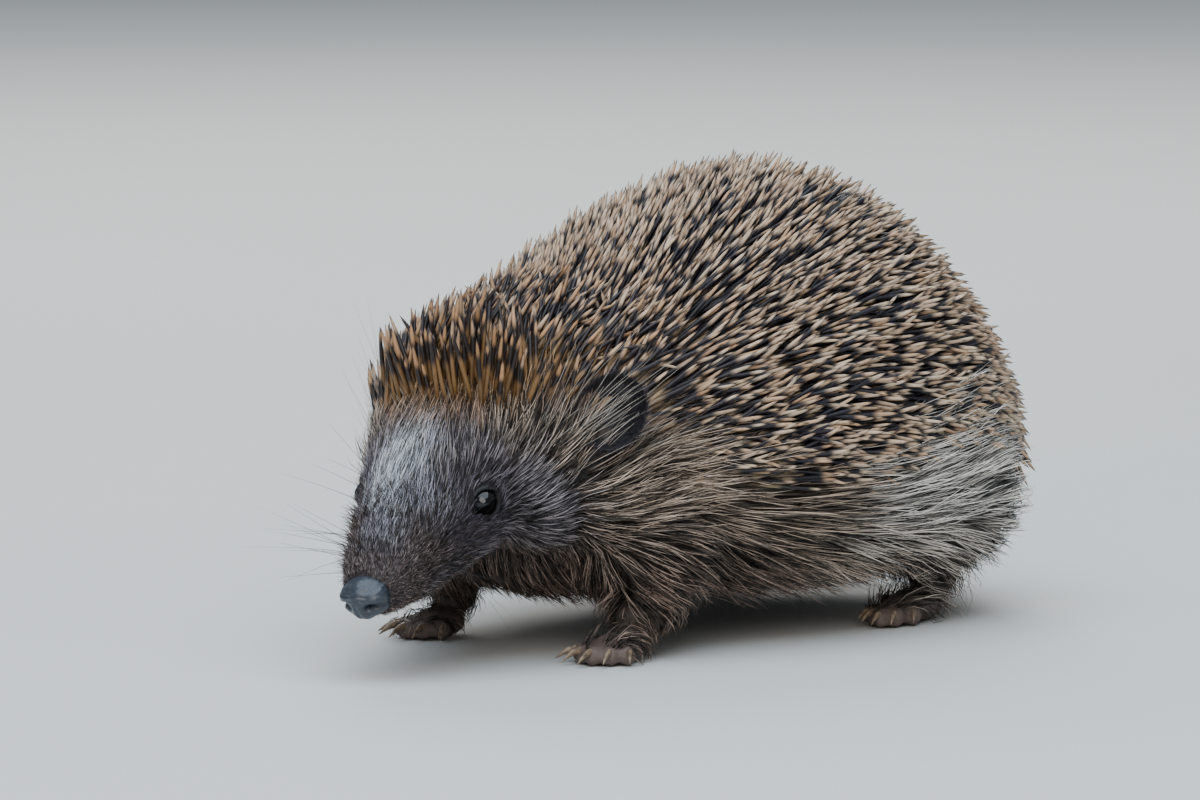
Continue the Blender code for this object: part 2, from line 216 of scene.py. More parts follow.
def head_skin_place(u, angle):
    t = HEAD_ROUNDS[0][0] + (HEAD_ROUNDS[-1][0] - HEAD_ROUNDS[0][0]) * u
    half, above, below = rounds_at(HEAD_ROUNDS, t)
    close = min(1, (14 if u < 0.5 else 4) * math.sin(math.pi * u)) ** 0.5
    reach = above if math.sin(angle) > 0 else below
    return from_head((t, half * close * math.cos(angle), reach * close * math.sin(angle)))


def egg_place(centre, size, turn=np.eye(3)):
    def place(u, angle):
        wide = math.sin(math.pi * u)
        spot = np.array((math.cos(angle) * wide, math.sin(angle) * wide, -math.cos(math.pi * u)))
        return centre + turn @ (spot * size)

    return place


def limb_place(start, end, start_radius, end_radius):
    way = unit(end - start)
    side = unit(np.cross(way, (0.3, 0.1, 1.0)))
    up = np.cross(side, way)

    def place(u, angle):
        radius = start_radius + (end_radius - start_radius) * u
        wide = radius * min(1, 2.2 * math.sin(math.pi * u)) ** 0.5
        return start + (end - start) * u + (side * math.cos(angle) + up * math.sin(angle)) * wide

    return place


# %% [markdown]
# ## Legs and paws
#
# A hedgehog walks on its soles. Each paw is a soft palm with five short toes, and a pad under every toe.
# The solids hold the claws, so a toe runs from the palm to the root of its claw, wherever that is.

# %% Legs, paws and toes
LEGS = {  # elbow or knee above the wrist, its radius, and the palm's half sizes, in mm
    "front_left": ((2, 14, 21), 7.5, (5.8, 6.4, 3.4)),
    "front_right": ((-2, 9, 21), 7.5, (5.8, 6.4, 3.4)),
    "hind_left": ((3, 6, 21), 8.5, (5.8, 12.6, 3.6)),
    "hind_right": ((-3, 2, 21), 8.5, (5.8, 12.6, 3.6)),
}
TOES = range(1, 6)
TOE_RADIUS = 1.95
WRIST_RADIUS = 4.6
PAD = (1.9, 1.9, 1.6)  # half sizes of a toe's pad


def node_points(node):
    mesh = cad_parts[node].data
    points = np.empty(len(mesh.vertices) * 3)
    mesh.vertices.foreach_get("co", points)
    return points.reshape(-1, 3) / MM


def claw_ends(leg, toe):
    """The root and the tip of a claw in mm, from its solid."""
    points = node_points(f"claw_{leg}_{toe}")
    far = np.linalg.norm(points - middle(f"paw_{leg}"), axis=1)
    order = np.argsort(far)
    return points[order[:6]].mean(0), points[order[-1]]


def add_leg(shape, leg):
    lean, radius, palm = LEGS[leg]
    paw = middle(f"paw_{leg}")
    ends = [claw_ends(leg, toe) for toe in TOES]
    forward = unit(np.mean([root for root, _ in ends], axis=0) - paw)
    forward[2] = 0
    forward = unit(forward)
    turn = np.array((np.cross(forward, (0, 0, 1)), forward, (0, 0, 1))).T
    heel = np.array((paw[0], paw[1], palm[2] * 0.95)) - forward * 1.5
    add_ball(shape, 20, 14, egg_place(heel, palm, turn))
    wrist = heel - forward * palm[1] * 0.55 + (0, 0, 1.0)
    add_ball(shape, 18, 12, limb_place(wrist + np.array(lean), wrist, radius, WRIST_RADIUS))
    for root, tip in ends:
        start = heel + (root - heel) * 0.35
        end = root + unit(tip - root) * 1.6
        start[2], end[2] = 2.6, 2.5
        add_ball(shape, 12, 10, limb_place(start, end, TOE_RADIUS * 1.15, TOE_RADIUS))
        add_ball(shape, 10, 8, egg_place(end - unit(end - start) * 1.8 - (0, 0, 0.9), PAD))


# %% [markdown]
# ## Ears
#
# The ear is a small round dish with a thick rolled rim, its hollow to the front and half hidden in hair.
# The solid has it as a plain dish. A finer one is turned here: the rim rolls forward, and a fold runs down
# inside the hollow. It stands a few millimetres further out than the solid, so that the coat doesn't bury
# it. Its shape is given now, because the coat makes room for it, and it joins the skin when the coat has
# grown.

# %% Ears
EAR_WIDTH, EAR_HEIGHT, EAR_DISH, EAR_THICK = 15.0, 17.5, 5.2, 1.4
EAR_AT = {"left": (67.6, 30.6, 3.4), "right": (73.0, -32.5, 0.5)}  # its middle in t, out and up
EAR_HOLLOW_WAY = (0.62, -0.74, 0.25)  # where the left ear's hollow looks, in x, y and z
EAR_RISE = (0.35, 0.25, 1)  # where its top points
EAR_ROLL = 1.0  # how far the rim rolls forward, in mm
EAR_FOLD = 1.3  # height of the fold in the hollow


def ear_axes(side):
    """The ear's middle, and its ways across, up and out of its hollow."""
    sign = SIDES[side]
    middle_at = from_head(EAR_AT[side])
    hollow_way = unit(np.array(EAR_HOLLOW_WAY) * (sign, 1, 1))
    rise = unit(np.array(EAR_RISE) * (sign, 1, 1))
    sideways = unit(np.cross(rise, hollow_way))
    return middle_at, sideways, np.cross(hollow_way, sideways), hollow_way


def add_ear(shape, side):
    at, sideways, rise, hollow_way = ears[side]

    def place(u, angle):
        # u runs from the middle of the back, over the rim, to the middle of the hollow.
        wide = math.sin(math.pi * u) ** 0.8
        face = 1 if u > 0.5 else -1
        dish = EAR_DISH * (wide**2 - 1) + EAR_ROLL * smoothstep(wide, 0.8, 1.0)
        thick = EAR_THICK / 2 * face * (1 - wide**6) ** 0.5
        fold = EAR_FOLD * math.exp(-(((wide - 0.55) / 0.13) ** 2)) * max(0, math.cos(angle - 1.9))
        fold *= face > 0
        x = EAR_WIDTH / 2 * wide * math.cos(angle)
        y = EAR_HEIGHT / 2 * wide * math.sin(angle) * (1 - 0.05 * math.sin(angle))
        return at + sideways * x + rise * y + hollow_way * (dish + thick + fold)

    add_ball(shape, 40, 32, place)


ears = {side: ear_axes(side) for side in SIDES}
print("ears at", {side: ears[side][0].round(1).tolist() for side in SIDES})

# %% Fuse the forms into one skin
VOXEL = 0.85 * MM
BODY_TRIANGLES = 150_000
TAIL_ROOT = np.array((0, 97, 23.0))
TAIL_RADII = (4.6, 1.6)  # at its root and at its tip


def points_of(mesh):
    points = np.empty(len(mesh.vertices) * 3, np.float32)
    mesh.vertices.foreach_get("co", points)
    return points.reshape(-1, 3).astype(float) / MM


def put_points(mesh, points):
    mesh.vertices.foreach_set("co", (points * MM).astype(np.float32).ravel())
    mesh.update()


def object_from(name, shape):
    mesh = bpy.data.meshes.new(name)
    shape.to_mesh(mesh)
    shape.free()
    mesh.shade_smooth()
    obj = bpy.data.objects.new(name, mesh)
    bpy.context.scene.collection.objects.link(obj)
    return obj


def settle(obj):
    """Gives the object the mesh that its modifiers make, and clears them."""
    graph = bpy.context.evaluated_depsgraph_get()
    old = obj.data
    obj.data = bpy.data.meshes.new_from_object(obj.evaluated_get(graph), depsgraph=graph)
    obj.modifiers.clear()
    bpy.data.meshes.remove(old)


def modify(obj, kind, **settings):
    modifier = obj.modifiers.new(kind.title(), kind)
    for name, value in settings.items():
        setattr(modifier, name, value)

# %% The bare skin
def fine_part(points):
    """1 on the head and the paws, where the skin shows, and 0 on the trunk."""
    t = in_head(points)[:, 0]
    return np.maximum(1 - smoothstep(t, 60, 85), 1 - smoothstep(points[:, 2], 8, 12))


flesh = bmesh.new()
add_ball(flesh, 64, 56, trunk_place)
add_ball(flesh, 64, 60, head_skin_place)
for side, sign in SIDES.items():
    mirror = np.array((sign, 1, 1))
    cheek_at = from_head(np.array(CHEEK[0]) * (1, sign, 1))
    add_ball(flesh, 24, 16, egg_place(cheek_at, CHEEK[1]))
    for centre, size in MUSCLES:
        add_ball(flesh, 28, 20, egg_place(np.array(centre) * mirror, size))
for leg in LEGS:
    add_leg(flesh, leg)
tail_low, tail_high = (np.array(corner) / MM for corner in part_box("tail"))
tail_tip = np.array((0, tail_high[1] - 2, tail_low[2] + TAIL_RADII[1]))
add_ball(flesh, 16, 12, limb_place(TAIL_ROOT, tail_tip, *TAIL_RADII))

skin = object_from("skin", flesh)
modify(skin, "REMESH", mode="VOXEL", voxel_size=VOXEL, use_smooth_shade=True)
settle(skin)
fine = fine_part(points_of(skin.data))
for name, indices in (("trunk", np.flatnonzero(fine < 0.5)), ("fine", np.flatnonzero(fine >= 0.5))):
    skin.vertex_groups.new(name=name).add(indices.tolist(), 1.0, "REPLACE")
modify(skin, "SMOOTH", factor=0.5, iterations=14, vertex_group="trunk")
skin.modifiers.new("Smooth all", "SMOOTH").iterations = 3
share = BODY_TRIANGLES / sum(len(face.vertices) - 2 for face in skin.data.polygons)
modify(skin, "DECIMATE", ratio=min(1, share), vertex_group="trunk", use_collapse_triangulate=True)
settle(skin)
print("skin:", len(skin.data.vertices), "points,", len(skin.data.polygons), "faces")

# %% [markdown]
# ## Lids, lips and soles
#
# A voxel skin has no fine folds, so the places that need them are cut finer first. Round each eye the skin
# becomes a low rim that hugs the ball, with a furrow behind it. Inside the opening it dives behind the
# ball, which saves cutting a hole. The mouth is a crease along each side of the muzzle, and the soles are
# pressed flat on the floor.

# %% Sizes of the lids, lips and soles
EYE_RADIUS = 3.25
EYE_LOOK = (-0.48, 0.85, 0.21)  # the left eye's way, in t, out and up
LID_OPEN = 3.08  # half width of the opening, in mm
LID_HEIGHT = 2.1  # of the lid's edge above the ball's middle
LID_BEHIND = -0.6  # where the skin lies inside the opening
LID_TUCK = 0.16  # how far it stays inside the opening's edge
LID_REACHES = (7.5, 6.2)  # from the eye, where the skin is cut finer
LID_NEAR = 6.5  # and where it is folded
FURROWS = ((0.28, 4.3, 0.36), (0.16, 5.3, 0.3))  # depth, distance from the line of sight and width of each
MOUTH_DROP = 4.3
MOUTH_CORNER = 29.0
MOUTH_REACH = 2.4
LIP_DEPTH = 0.9
SOLE_HEIGHT = 0.35  # skin that is lower is pressed flat
SOLE_FLAT = 0.05

# %% Finer skin where it folds
def refine(obj, places, reach):
    """Halves every edge that lies within reach of one of the places, all in mm."""
    shape = bmesh.new()
    shape.from_mesh(obj.data)
    tree = KDTree(len(places))
    for i, place in enumerate(places):
        tree.insert(place, i)
    tree.balance()
    near = {vert for vert in shape.verts if tree.find(vert.co / MM)[2] < reach}
    edges = [edge for edge in shape.edges if near.issuperset(edge.verts)]
    bmesh.ops.subdivide_edges(shape, edges=edges, cuts=1, use_grid_fill=True)
    bmesh.ops.triangulate(shape, faces=[face for face in shape.faces if len(face.verts) > 3])
    shape.to_mesh(obj.data)
    shape.free()
    obj.data.shade_smooth()


def near_eye(points, side):
    """Points' distance from the line of sight, their angle round it, and their height along it, in mm."""
    at, sideways, rise, look = eyes[side]
    away = points - at
    x, y = away @ sideways, away @ rise
    return np.hypot(x, y), np.arctan2(y, x), away @ look

# %% Lids
def fold_lids(points, side):
    at, _, _, look = eyes[side]
    spread, angle, height = near_eye(points, side)
    near = (spread < LID_NEAR) & (height > -1.5)
    inner = 0.45 * np.maximum(0, np.cos(angle - 0.25)) ** 14
    outer = 0.35 * np.maximum(0, -np.cos(angle - 0.1)) ** 14
    opening = LID_OPEN * (1 + 0.03 * np.cos(2 * angle)) + (inner + outer)
    rim = LID_HEIGHT - 0.12 * np.abs(np.sin(angle))
    lid = rim + (height - rim) * smoothstep(spread, 3.3, 5.4)
    lid -= sum(depth * np.exp(-(((spread - at_spread) / width) ** 2)) for depth, at_spread, width in FURROWS)
    inside = spread < opening
    lid = np.where(inside, LID_BEHIND, lid)
    snug = np.where(inside & (spread > opening - LID_TUCK), opening - LID_TUCK, spread)
    scale = np.where(near & (spread > 1e-6), snug / np.maximum(spread, 1e-6), 1)[:, None]
    level = points - at - np.outer(height, look)
    folded = at + level * scale + np.outer(lid, look)
    points[near] = folded[near]

# %% Lids, lips and soles in the skin
def eye_axes(side):
    """The eye's middle, and its ways across, up and out."""
    look = unit(way_from_head(unit(np.array(EYE_LOOK) * (1, SIDES[side], 1))))
    rise = way_from_head((0, 0, 1))
    rise = unit(rise - look * (rise @ look))
    return middle("eye_" + side), np.cross(rise, look), rise, look


eyes = {side: eye_axes(side) for side in SIDES}
eye_places = [eyes[side][0] + eyes[side][3] * 2 for side in SIDES]
for reach in LID_REACHES:
    refine(skin, eye_places, reach)
mouth = []
for t in range(3, round(MOUTH_CORNER) + 1, 2):
    half = rounds_at(HEAD_ROUNDS, t)[0] * 0.85
    mouth += [from_head((t, sign * half, -MOUTH_DROP)) for sign in (1, -1)]
refine(skin, mouth, MOUTH_REACH)

points = points_of(skin.data)
for side in SIDES:
    fold_lids(points, side)
head_points = in_head(points)
lip_line = -MOUTH_DROP - 0.03 * np.maximum(0, head_points[:, 0] - 12) ** 1.2
lip = np.exp(-(((head_points[:, 2] - lip_line) / 0.5) ** 2)) * smoothstep(head_points[:, 0], 0, 3)
lip *= 1 - smoothstep(head_points[:, 0], MOUTH_CORNER - 4, MOUTH_CORNER)
inwards = np.zeros(points.shape)
inwards[:, 1] = -np.sign(head_points[:, 1])
inwards[:, 2] = 0.25
points += way_from_head(inwards) * (LIP_DEPTH * lip * (np.abs(head_points[:, 1]) > 1))[:, None]
points[:, 2] = np.where(points[:, 2] < SOLE_HEIGHT, SOLE_FLAT, points[:, 2])
put_points(skin.data, points)
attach(skin, "root")
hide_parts("head", "lower_jaw", "neck", "spiny_back", "belly", "tail", "ear_left", "ear_right")
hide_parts(*("leg_" + leg for leg in LEGS), *("paw_" + leg for leg in LEGS))
print("skin:", sum(len(face.vertices) - 2 for face in skin.data.polygons), "triangles")

# %% [markdown]
# ## Eyes, nose and claws
#
# The eye is a near sphere with a slightly steeper cornea. The nose is a wet pad: two lobes, a groove down
# the middle that runs on to the lip, and a comma-shaped nostril cut into each side. The claws are horn,
# curved down, flat at the sides, one for each toe.

# %% Values and colours that a mesh can hold
def write_values(mesh, name, values):
    """A number for each point of the mesh, which its finish can read."""
    mesh.attributes.new(name, "FLOAT", "POINT").data.foreach_set("value", values.astype(np.float32))


def write_colours(mesh, name, tints):
    full = np.ones((len(tints), 4), np.float32)
    full[:, :3] = tints
    mesh.attributes.new(name, "FLOAT_COLOR", "POINT").data.foreach_set("color", full.ravel())

# %% Eyes
def piece_from(name, shape, slot, *nodes):
    bmesh.ops.recalc_face_normals(shape, faces=shape.faces)
    obj = object_from(name, shape)
    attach(obj, "root")
    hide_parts(*nodes)
    return obj


def make_eye(side):
    at, sideways, rise, look = eyes[side]
    shape = bmesh.new()

    def place(u, angle):
        steep = 0.35 * smoothstep(u, 0.68, 0.9)
        wide = math.sin(math.pi * u) * (1 - 0.25 * steep)
        out = -math.cos(math.pi * u) * (1 + 0.12 * steep)
        spot = sideways * wide * math.cos(angle) + rise * wide * math.sin(angle) + look * out
        return at + EYE_RADIUS * spot

    add_ball(shape, 48, 36, place)
    obj = piece_from("eyeball_" + side, shape, "eyes", "eye_" + side)
    # Painted highlight: the coat covers only the ball's upper half, where it reflects the sky light, and the
    # lower half stays dark.
    write_values(obj.data, "sky_highlight_coat", smoothstep((points_of(obj.data) - at) @ rise, 0.0, 0.5))
    return obj

# %% Nose
NOSE_HALF = np.array((5.1, 5.3, 4.5))
NOSE_ROUND = np.array((0.85, 0.94, 0.92))  # 1 is an egg, and less is nearer a box


def make_nose():
    shape = bmesh.new()

    def place(u, angle):
        wide = math.sin(math.pi * u)
        spot = np.array((math.cos(math.pi * u), math.cos(angle) * wide, math.sin(angle) * wide))
        spot = np.sign(spot) * np.abs(spot) ** NOSE_ROUND
        t, out, up = spot
        grow = 1 + 0.05 * math.cos(2 * out * math.pi) * (t < 0)
        groove = 0.42 * math.exp(-((out / 0.085) ** 2))
        groove *= smoothstep(-up, -0.55, 0.2) * smoothstep(-t, -0.2, 0.5)
        brow = 0.10 * math.exp(-(((up - 0.55) / 0.35) ** 2)) * smoothstep(-t, 0, 0.5)
        hole = ((abs(out) - 0.55) / 0.19) ** 2 + ((up + 0.02) / 0.17) ** 2
        slit = ((up - 0.16 + 0.9 * (abs(out) - 0.62)) / 0.12) ** 2 + ((abs(out) - 0.80) / 0.2) ** 2
        pit = (1.9 * math.exp(-hole) + 1.3 * math.exp(-slit)) * smoothstep(-t, -0.25, 0.2)
        wing = 0.40 * math.exp(-(((abs(out) - 0.70) / 0.28) ** 2) - (((up - 0.35) / 0.3) ** 2))
        wrinkle = 0.07 * math.sin(34 * up + 9 * abs(out)) * math.exp(-(((up - 0.5) / 0.35) ** 2))
        relief = wing + brow + wrinkle - groove - pit
        return from_head(NOSE_MIDDLE + spot * (NOSE_HALF * grow + relief))

    add_ball(shape, 112, 84, place)
    return piece_from("nose_pad", shape, "nose", "nose")

# %% Claws
CLAW_RADIUS = 0.98
CLAW_FLAT = 0.72  # its width as a share of its height
CLAW_ROOT = 0.8  # length that is set into the toe
CLAW_CLEAR = 0.1  # height that no claw goes below


def make_claws(leg):
    shape = bmesh.new()
    for toe in TOES:
        root, tip = claw_ends(leg, toe)
        way = unit(tip - root)
        side = unit(np.cross(way, (0, 0, 1)))
        up = np.cross(side, way)
        length = np.linalg.norm(tip - root)

        def place(u, angle):
            arch = 0.75 * math.sin(math.pi * u**0.9) - 0.15 * u
            line = root - way * CLAW_ROOT + way * (length + CLAW_ROOT) * u + up * arch
            thick = CLAW_RADIUS * min(1, 3 * math.sin(math.pi * min(u, 0.5))) ** 0.5 * (1 - 0.93 * u**1.6)
            point = line + side * (CLAW_FLAT * thick * math.cos(angle)) + up * (thick * math.sin(angle))
            return (*point[:2], max(point[2], CLAW_CLEAR))

        add_ball(shape, 14, 14, place)
    return piece_from("claws_" + leg, shape, "claws", *(f"claw_{leg}_{toe}" for toe in TOES))


eyeballs = [make_eye(side) for side in SIDES]
nose_pad = make_nose()
claws = [make_claws(leg) for leg in LEGS]
print("set", len(eyeballs), "eyes, a nose and", len(claws) * len(TOES), "claws")

# %% [markdown]
# ## The lie of the coat
#
# Everything the coat does changes slowly over the body: which way it lies, how long it is, how far it
# stands off and what colour its tips are. It is given at a few dozen places on the left side. Any other
# point takes a blend of those around it, nearest first, and the right side mirrors the left. Skin and coat
# read their colours from the same blend, so they always agree.

# %% Colours of the coat
def colour(*rgb):
    """A colour from its screen values, 0 to 255, as the light it stands for."""
    share = np.array(rgb) / 255
    return np.where(share <= 0.04045, share / 12.92, ((share + 0.055) / 1.055) ** 2.4)


# Partly the coat's own pale forehead patch and partly painted reflection: the faint blue and full brightness
# of this silver stand in for the sky's sheen on the hair.
SILVER_AND_SKY_SHEEN = colour(246, 249, 255)
ASH = colour(204, 202, 214)
PLUM = colour(178, 168, 172)
MAUVE = colour(194, 186, 190)
DUSK = colour(138, 126, 140)
RUSSET = colour(180, 158, 156)
CHESTNUT = colour(196, 155, 122)
UMBER = colour(172, 146, 130)
TAN = colour(224, 200, 178)
GOLD = colour(220, 178, 134)
STRAW = colour(238, 226, 212)
PALE = colour(255, 248, 238)
CHARCOAL = colour(96, 94, 102)

# %% Guides for the fur
# Each is a place, the hair's way, its length and how far its tip stands off, in mm, and the tip's colour.
HEAD_GUIDES = (  # places and ways in t, out and up
    ((5, 0, 6), (1, 0, 0.3), 1.5, 0.7, RUSSET),
    ((5, 6, 0), (1, 0.2, 0.1), 1.4, 0.6, RUSSET),
    ((6, 2, -6), (1, 0.1, -0.3), 1.6, 0.7, UMBER),
    ((12, 0, 9), (0.8, 0, 0.6), 4.2, 1.1, ASH),
    ((14, 9, 5), (1, 0.1, 0.2), 2.8, 1.0, RUSSET),
    ((15, 10, -4), (1, 0.2, -0.1), 2.8, 1.0, PLUM),
    ((16, 4, -9), (1, 0.1, -0.4), 3.5, 1.4, UMBER),
    ((21, 0, 12), (0.6, 0, 0.8), 7.5, 1.4, SILVER_AND_SKY_SHEEN),
    ((22, 8, 10), (0.6, 0.1, 0.8), 6.5, 1.2, ASH),
    ((26, 13, 2), (1, 0.3, 0.15), 3.0, 0.9, DUSK),
    ((33, 15, 0), (1, 0.3, 0.0), 3.2, 0.9, DUSK),
    ((37, 16, 5), (1, 0.35, 0.25), 4.5, 1.1, DUSK),
    ((31, 12, 9), (0.75, 0.2, 0.6), 4.5, 1.1, DUSK),
    ((27, 12, -8), (1, 0.25, -0.3), 4.5, 1.4, PLUM),
    ((26, 4, -12), (1, 0, -0.6), 6.0, 2.2, UMBER),
    ((32, 0, 15), (0.55, 0, 0.85), 8.0, 1.8, SILVER_AND_SKY_SHEEN),
    ((31, 5, 14), (0.55, 0.05, 0.85), 7.5, 1.6, SILVER_AND_SKY_SHEEN),
    ((33, 10, 12), (0.6, 0.1, 0.8), 7.0, 1.5, MAUVE),
    ((35, 0, 16), (0.5, 0, 0.87), 9.0, 2.2, SILVER_AND_SKY_SHEEN),
    ((35, 7, 15), (0.5, 0.05, 0.85), 9.0, 2.2, ASH),
    ((38, 13, 14), (0.6, 0.15, 0.8), 8.5, 2.0, PLUM),
    ((41, 0, 17), (0.4, 0, 0.92), 11.0, 3.0, CHESTNUT),
    ((41, 8, 16), (0.45, 0.1, 0.9), 11.0, 3.0, CHESTNUT),
    ((45, 13, 14), (0.5, 0.12, 0.85), 12.0, 3.0, CHESTNUT),
    ((49, 6, 16), (0.4, 0.1, 0.9), 11.0, 4.0, GOLD),
    ((54, 0, 16), (0.3, 0, 0.95), 12.0, 5.5, GOLD),
    ((53, 14, 14), (0.4, 0.15, 0.9), 12.0, 5.0, GOLD),
    ((64, 0, 15), (0.25, 0, 0.97), 12.0, 6.0, GOLD),
    ((64, 18, 12), (0.45, 0.2, 0.85), 12.0, 5.0, GOLD),
    ((39, 16, 10), (0.8, 0.35, 0.5), 8.0, 1.8, PLUM),
    ((45, 18, 10), (0.75, 0.3, 0.6), 12.0, 2.6, TAN),
    ((53, 21, 10), (0.75, 0.3, 0.6), 16.0, 3.5, UMBER),
    ((61, 23, 8), (0.8, 0.3, 0.55), 11.0, 2.2, UMBER),
    ((41, 19, 3), (1, 0.4, 0.1), 7.0, 1.6, MAUVE),
    ((43, 20, -3), (1, 0.4, -0.05), 8.0, 1.8, MAUVE),
    ((50, 23, 2), (1, 0.35, 0.2), 13.0, 2.8, TAN),
    ((59, 26, 0), (1, 0.2, 0.1), 12.0, 2.2, UMBER),
    ((35, 16, -5), (1, 0.3, -0.2), 4.5, 1.4, PLUM),
    ((43, 19, -7), (1, 0.3, -0.35), 9.0, 2.2, PLUM),
    ((55, 25, -9), (1, 0.25, -0.35), 18.0, 4.0, TAN),
    ((40, 12, -13), (1, 0.15, -0.6), 9.0, 3.0, UMBER),
    ((52, 17, -19), (1, 0.1, -0.6), 16.0, 4.5, UMBER),
    ((44, 0, -16), (1, 0, -0.7), 10.0, 3.5, UMBER),
    ((70, 29, -9), (1, 0.15, -0.3), 23.0, 5.0, TAN),
)
BODY_GUIDES = (  # places and ways in x, y and z
    ((34, -38, 40), (0.2, 1, 0.05), 24.0, 6.0, TAN),
    ((40, -22, 42), (0.15, 1, 0.03), 24.0, 6.0, TAN),
    ((46, -8, 30), (0.1, 1, 0.0), 26.0, 6.0, TAN),
    ((50, 12, 34), (0.05, 1, 0.08), 27.0, 7.0, PALE),
    ((51, 30, 32), (0, 1, 0.2), 27.0, 8.0, PALE),
    ((49, 50, 34), (-0.05, 1, 0.24), 25.0, 7.5, PALE),
    ((44, 70, 30), (-0.2, 1, 0.06), 20.0, 5.0, PALE),
    ((43, 76, 44), (-0.3, 1, -0.15), 8.0, 1.5, UMBER),
    ((30, 93, 28), (-0.45, 0.85, 0.0), 14.0, 2.5, STRAW),
    ((10, 103, 24), (-0.1, 0.5, -0.7), 10.0, 3.0, UMBER),
    ((33, -38, 18), (0.1, 0.95, -0.3), 19.0, 5.0, UMBER),
    ((40, -12, 15), (0.1, 1, -0.25), 22.0, 6.0, UMBER),
    ((44, 20, 14), (0.05, 1, -0.2), 22.0, 6.0, TAN),
    ((42, 50, 14), (0, 1, -0.15), 20.0, 6.0, STRAW),
    ((34, 80, 15), (-0.1, 0.9, -0.3), 16.0, 5.0, PALE),
    ((0, -40, 20), (0, 0.9, -0.4), 14.0, 4.0, UMBER),
    ((0, 0, 10), (0, 1, -0.2), 13.0, 4.0, ASH),
    ((0, 50, 10), (0, 1, -0.2), 13.0, 4.0, ASH),
    ((0, 88, 14), (0, 0.9, -0.3), 10.0, 4.0, ASH),
    ((31, -36, 8), (0.0, 0.35, -1), 5.0, 1.6, UMBER),
    ((36, 58, 8), (0.0, 0.35, -1), 5.0, 1.6, UMBER),
    ((31, -36, 14), (0.05, 0.55, -0.9), 8.0, 2.2, UMBER),
    ((36, 57, 14), (0.0, 0.6, -0.8), 8.0, 2.2, UMBER),
)

# %% Read the guides and blend them
def both_sides(table, column, flip):
    """The places or ways in a column of guides, for the left side and then for the right."""
    left = np.array([guide[column] for guide in table], float)
    return np.concatenate((left, left * flip))


def fur_rows(table):
    rows = np.array([(length, rise, *tips) for _, _, length, rise, tips in table])
    return np.concatenate((rows, rows))


def read_guides():
    """The fur's guides on both sides: places, ways, and rows of length, rise and colour."""
    head_places, head_ways = (both_sides(HEAD_GUIDES, column, HEAD_FLIP) for column in (0, 1))
    body_places, body_ways = (both_sides(BODY_GUIDES, column, BODY_FLIP) for column in (0, 1))
    places = np.concatenate((from_head(head_places), body_places))
    ways = unit(np.concatenate((way_from_head(head_ways), body_ways)))
    return places, ways, np.concatenate((fur_rows(HEAD_GUIDES), fur_rows(BODY_GUIDES)))


def blend(points, places, values, softness):
    """Values at the points, from those at the places, nearest first."""
    made = np.empty((len(points), values.shape[1]))
    for start in range(0, len(points), 20_000):
        some = points[start : start + 20_000]
        away = ((some[:, None] - places[None]) ** 2).sum(-1)
        weight = 1 / (away + softness**2) ** 2.5
        made[start : start + 20_000] = weight @ values / weight.sum(1, keepdims=True)
    return made


HEAD_FLIP = np.array((1, -1, 1))  # takes a place on the left to the right
BODY_FLIP = np.array((-1, 1, 1))
guide_places, guide_ways, guide_values = read_guides()
FUR_SOFTNESS = 3.0
FOREHEAD_SHIFT = 4.0  # how far the silver of the forehead lies to the animal's right, in mm


def fur_way(points):
    return unit(blend(points, guide_places, guide_ways, FUR_SOFTNESS))


def fur_values(points):
    """Length, rise and tip colour at the points."""
    t, _, up = in_head(points).T
    shift = FOREHEAD_SHIFT * smoothstep(up, 5, 10) * smoothstep(t, 14, 22) * (1 - smoothstep(t, 44, 52))
    made = blend(points + way_from_head((0, 1, 0)) * shift[:, None], guide_places, guide_values, FUR_SOFTNESS)
    return made[:, 0], made[:, 1], made[:, 2:]


print(len(guide_places), "guides for the fur")

# %% Guides for the spines
# Each is a place, the way the spines stand there, in x, y and z, and how golden their roots are.
SPINE_GUIDES = (
    ((0, -74, 61), (0, 0.05, 1), 1.0),
    ((14, -72, 60), (0.16, 0.08, 1), 1.0),
    ((24, -62, 58), (0.45, 0.3, 0.9), 0.9),
    ((30, -50, 58), (0.50, 0.6, 0.6), 0.5),
    ((0, -55, 65), (0, 0.3, 1), 0.7),
    ((16, -40, 68), (0.15, 0.6, 0.75), 0.3),
    ((0, -15, 77), (0, 0.8, 0.6), 0.05),
    ((0, 30, 91), (0, 0.9, 0.4), 0.0),
    ((0, 75, 78), (0, 0.97, -0.1), 0.0),
    ((0, 98, 50), (0, 0.6, -0.7), 0.0),
    ((0, 105, 34), (0, 0.15, -1), 0.0),
    ((24, 98, 32), (0.15, 0.35, -1), 0.0),
    ((33, -15, 66), (0.42, 0.8, 0.4), 0.1),
    ((33, 30, 78), (0.35, 0.9, 0.3), 0.0),
    ((30, 72, 70), (0.28, 0.97, -0.1), 0.0),
    ((36, -33, 52), (0.5, 0.85, 0.15), 0.1),
    ((46, 0, 50), (0.42, 0.95, 0.04), 0.0),
    ((49, 30, 50), (0.38, 0.97, 0.0), 0.0),
    ((44, 68, 50), (0.34, 0.97, -0.08), 0.0),
    ((26, 96, 42), (0.25, 0.88, -0.42), 0.0),
    ((49, 10, 40), (0.34, 1, -0.04), 0.0),
    ((50, 40, 38), (0.30, 1, -0.05), 0.0),
    ((43, 72, 40), (0.28, 1, -0.08), 0.0),
)
SPINE_SOFTNESS = 6.0
spine_places, spine_ways = (both_sides(SPINE_GUIDES, column, BODY_FLIP) for column in (0, 1))
spine_ways = unit(spine_ways)
spine_gold = np.array([[gold] for _, _, gold in SPINE_GUIDES] * 2)
print(len(spine_places), "guides for the spines")


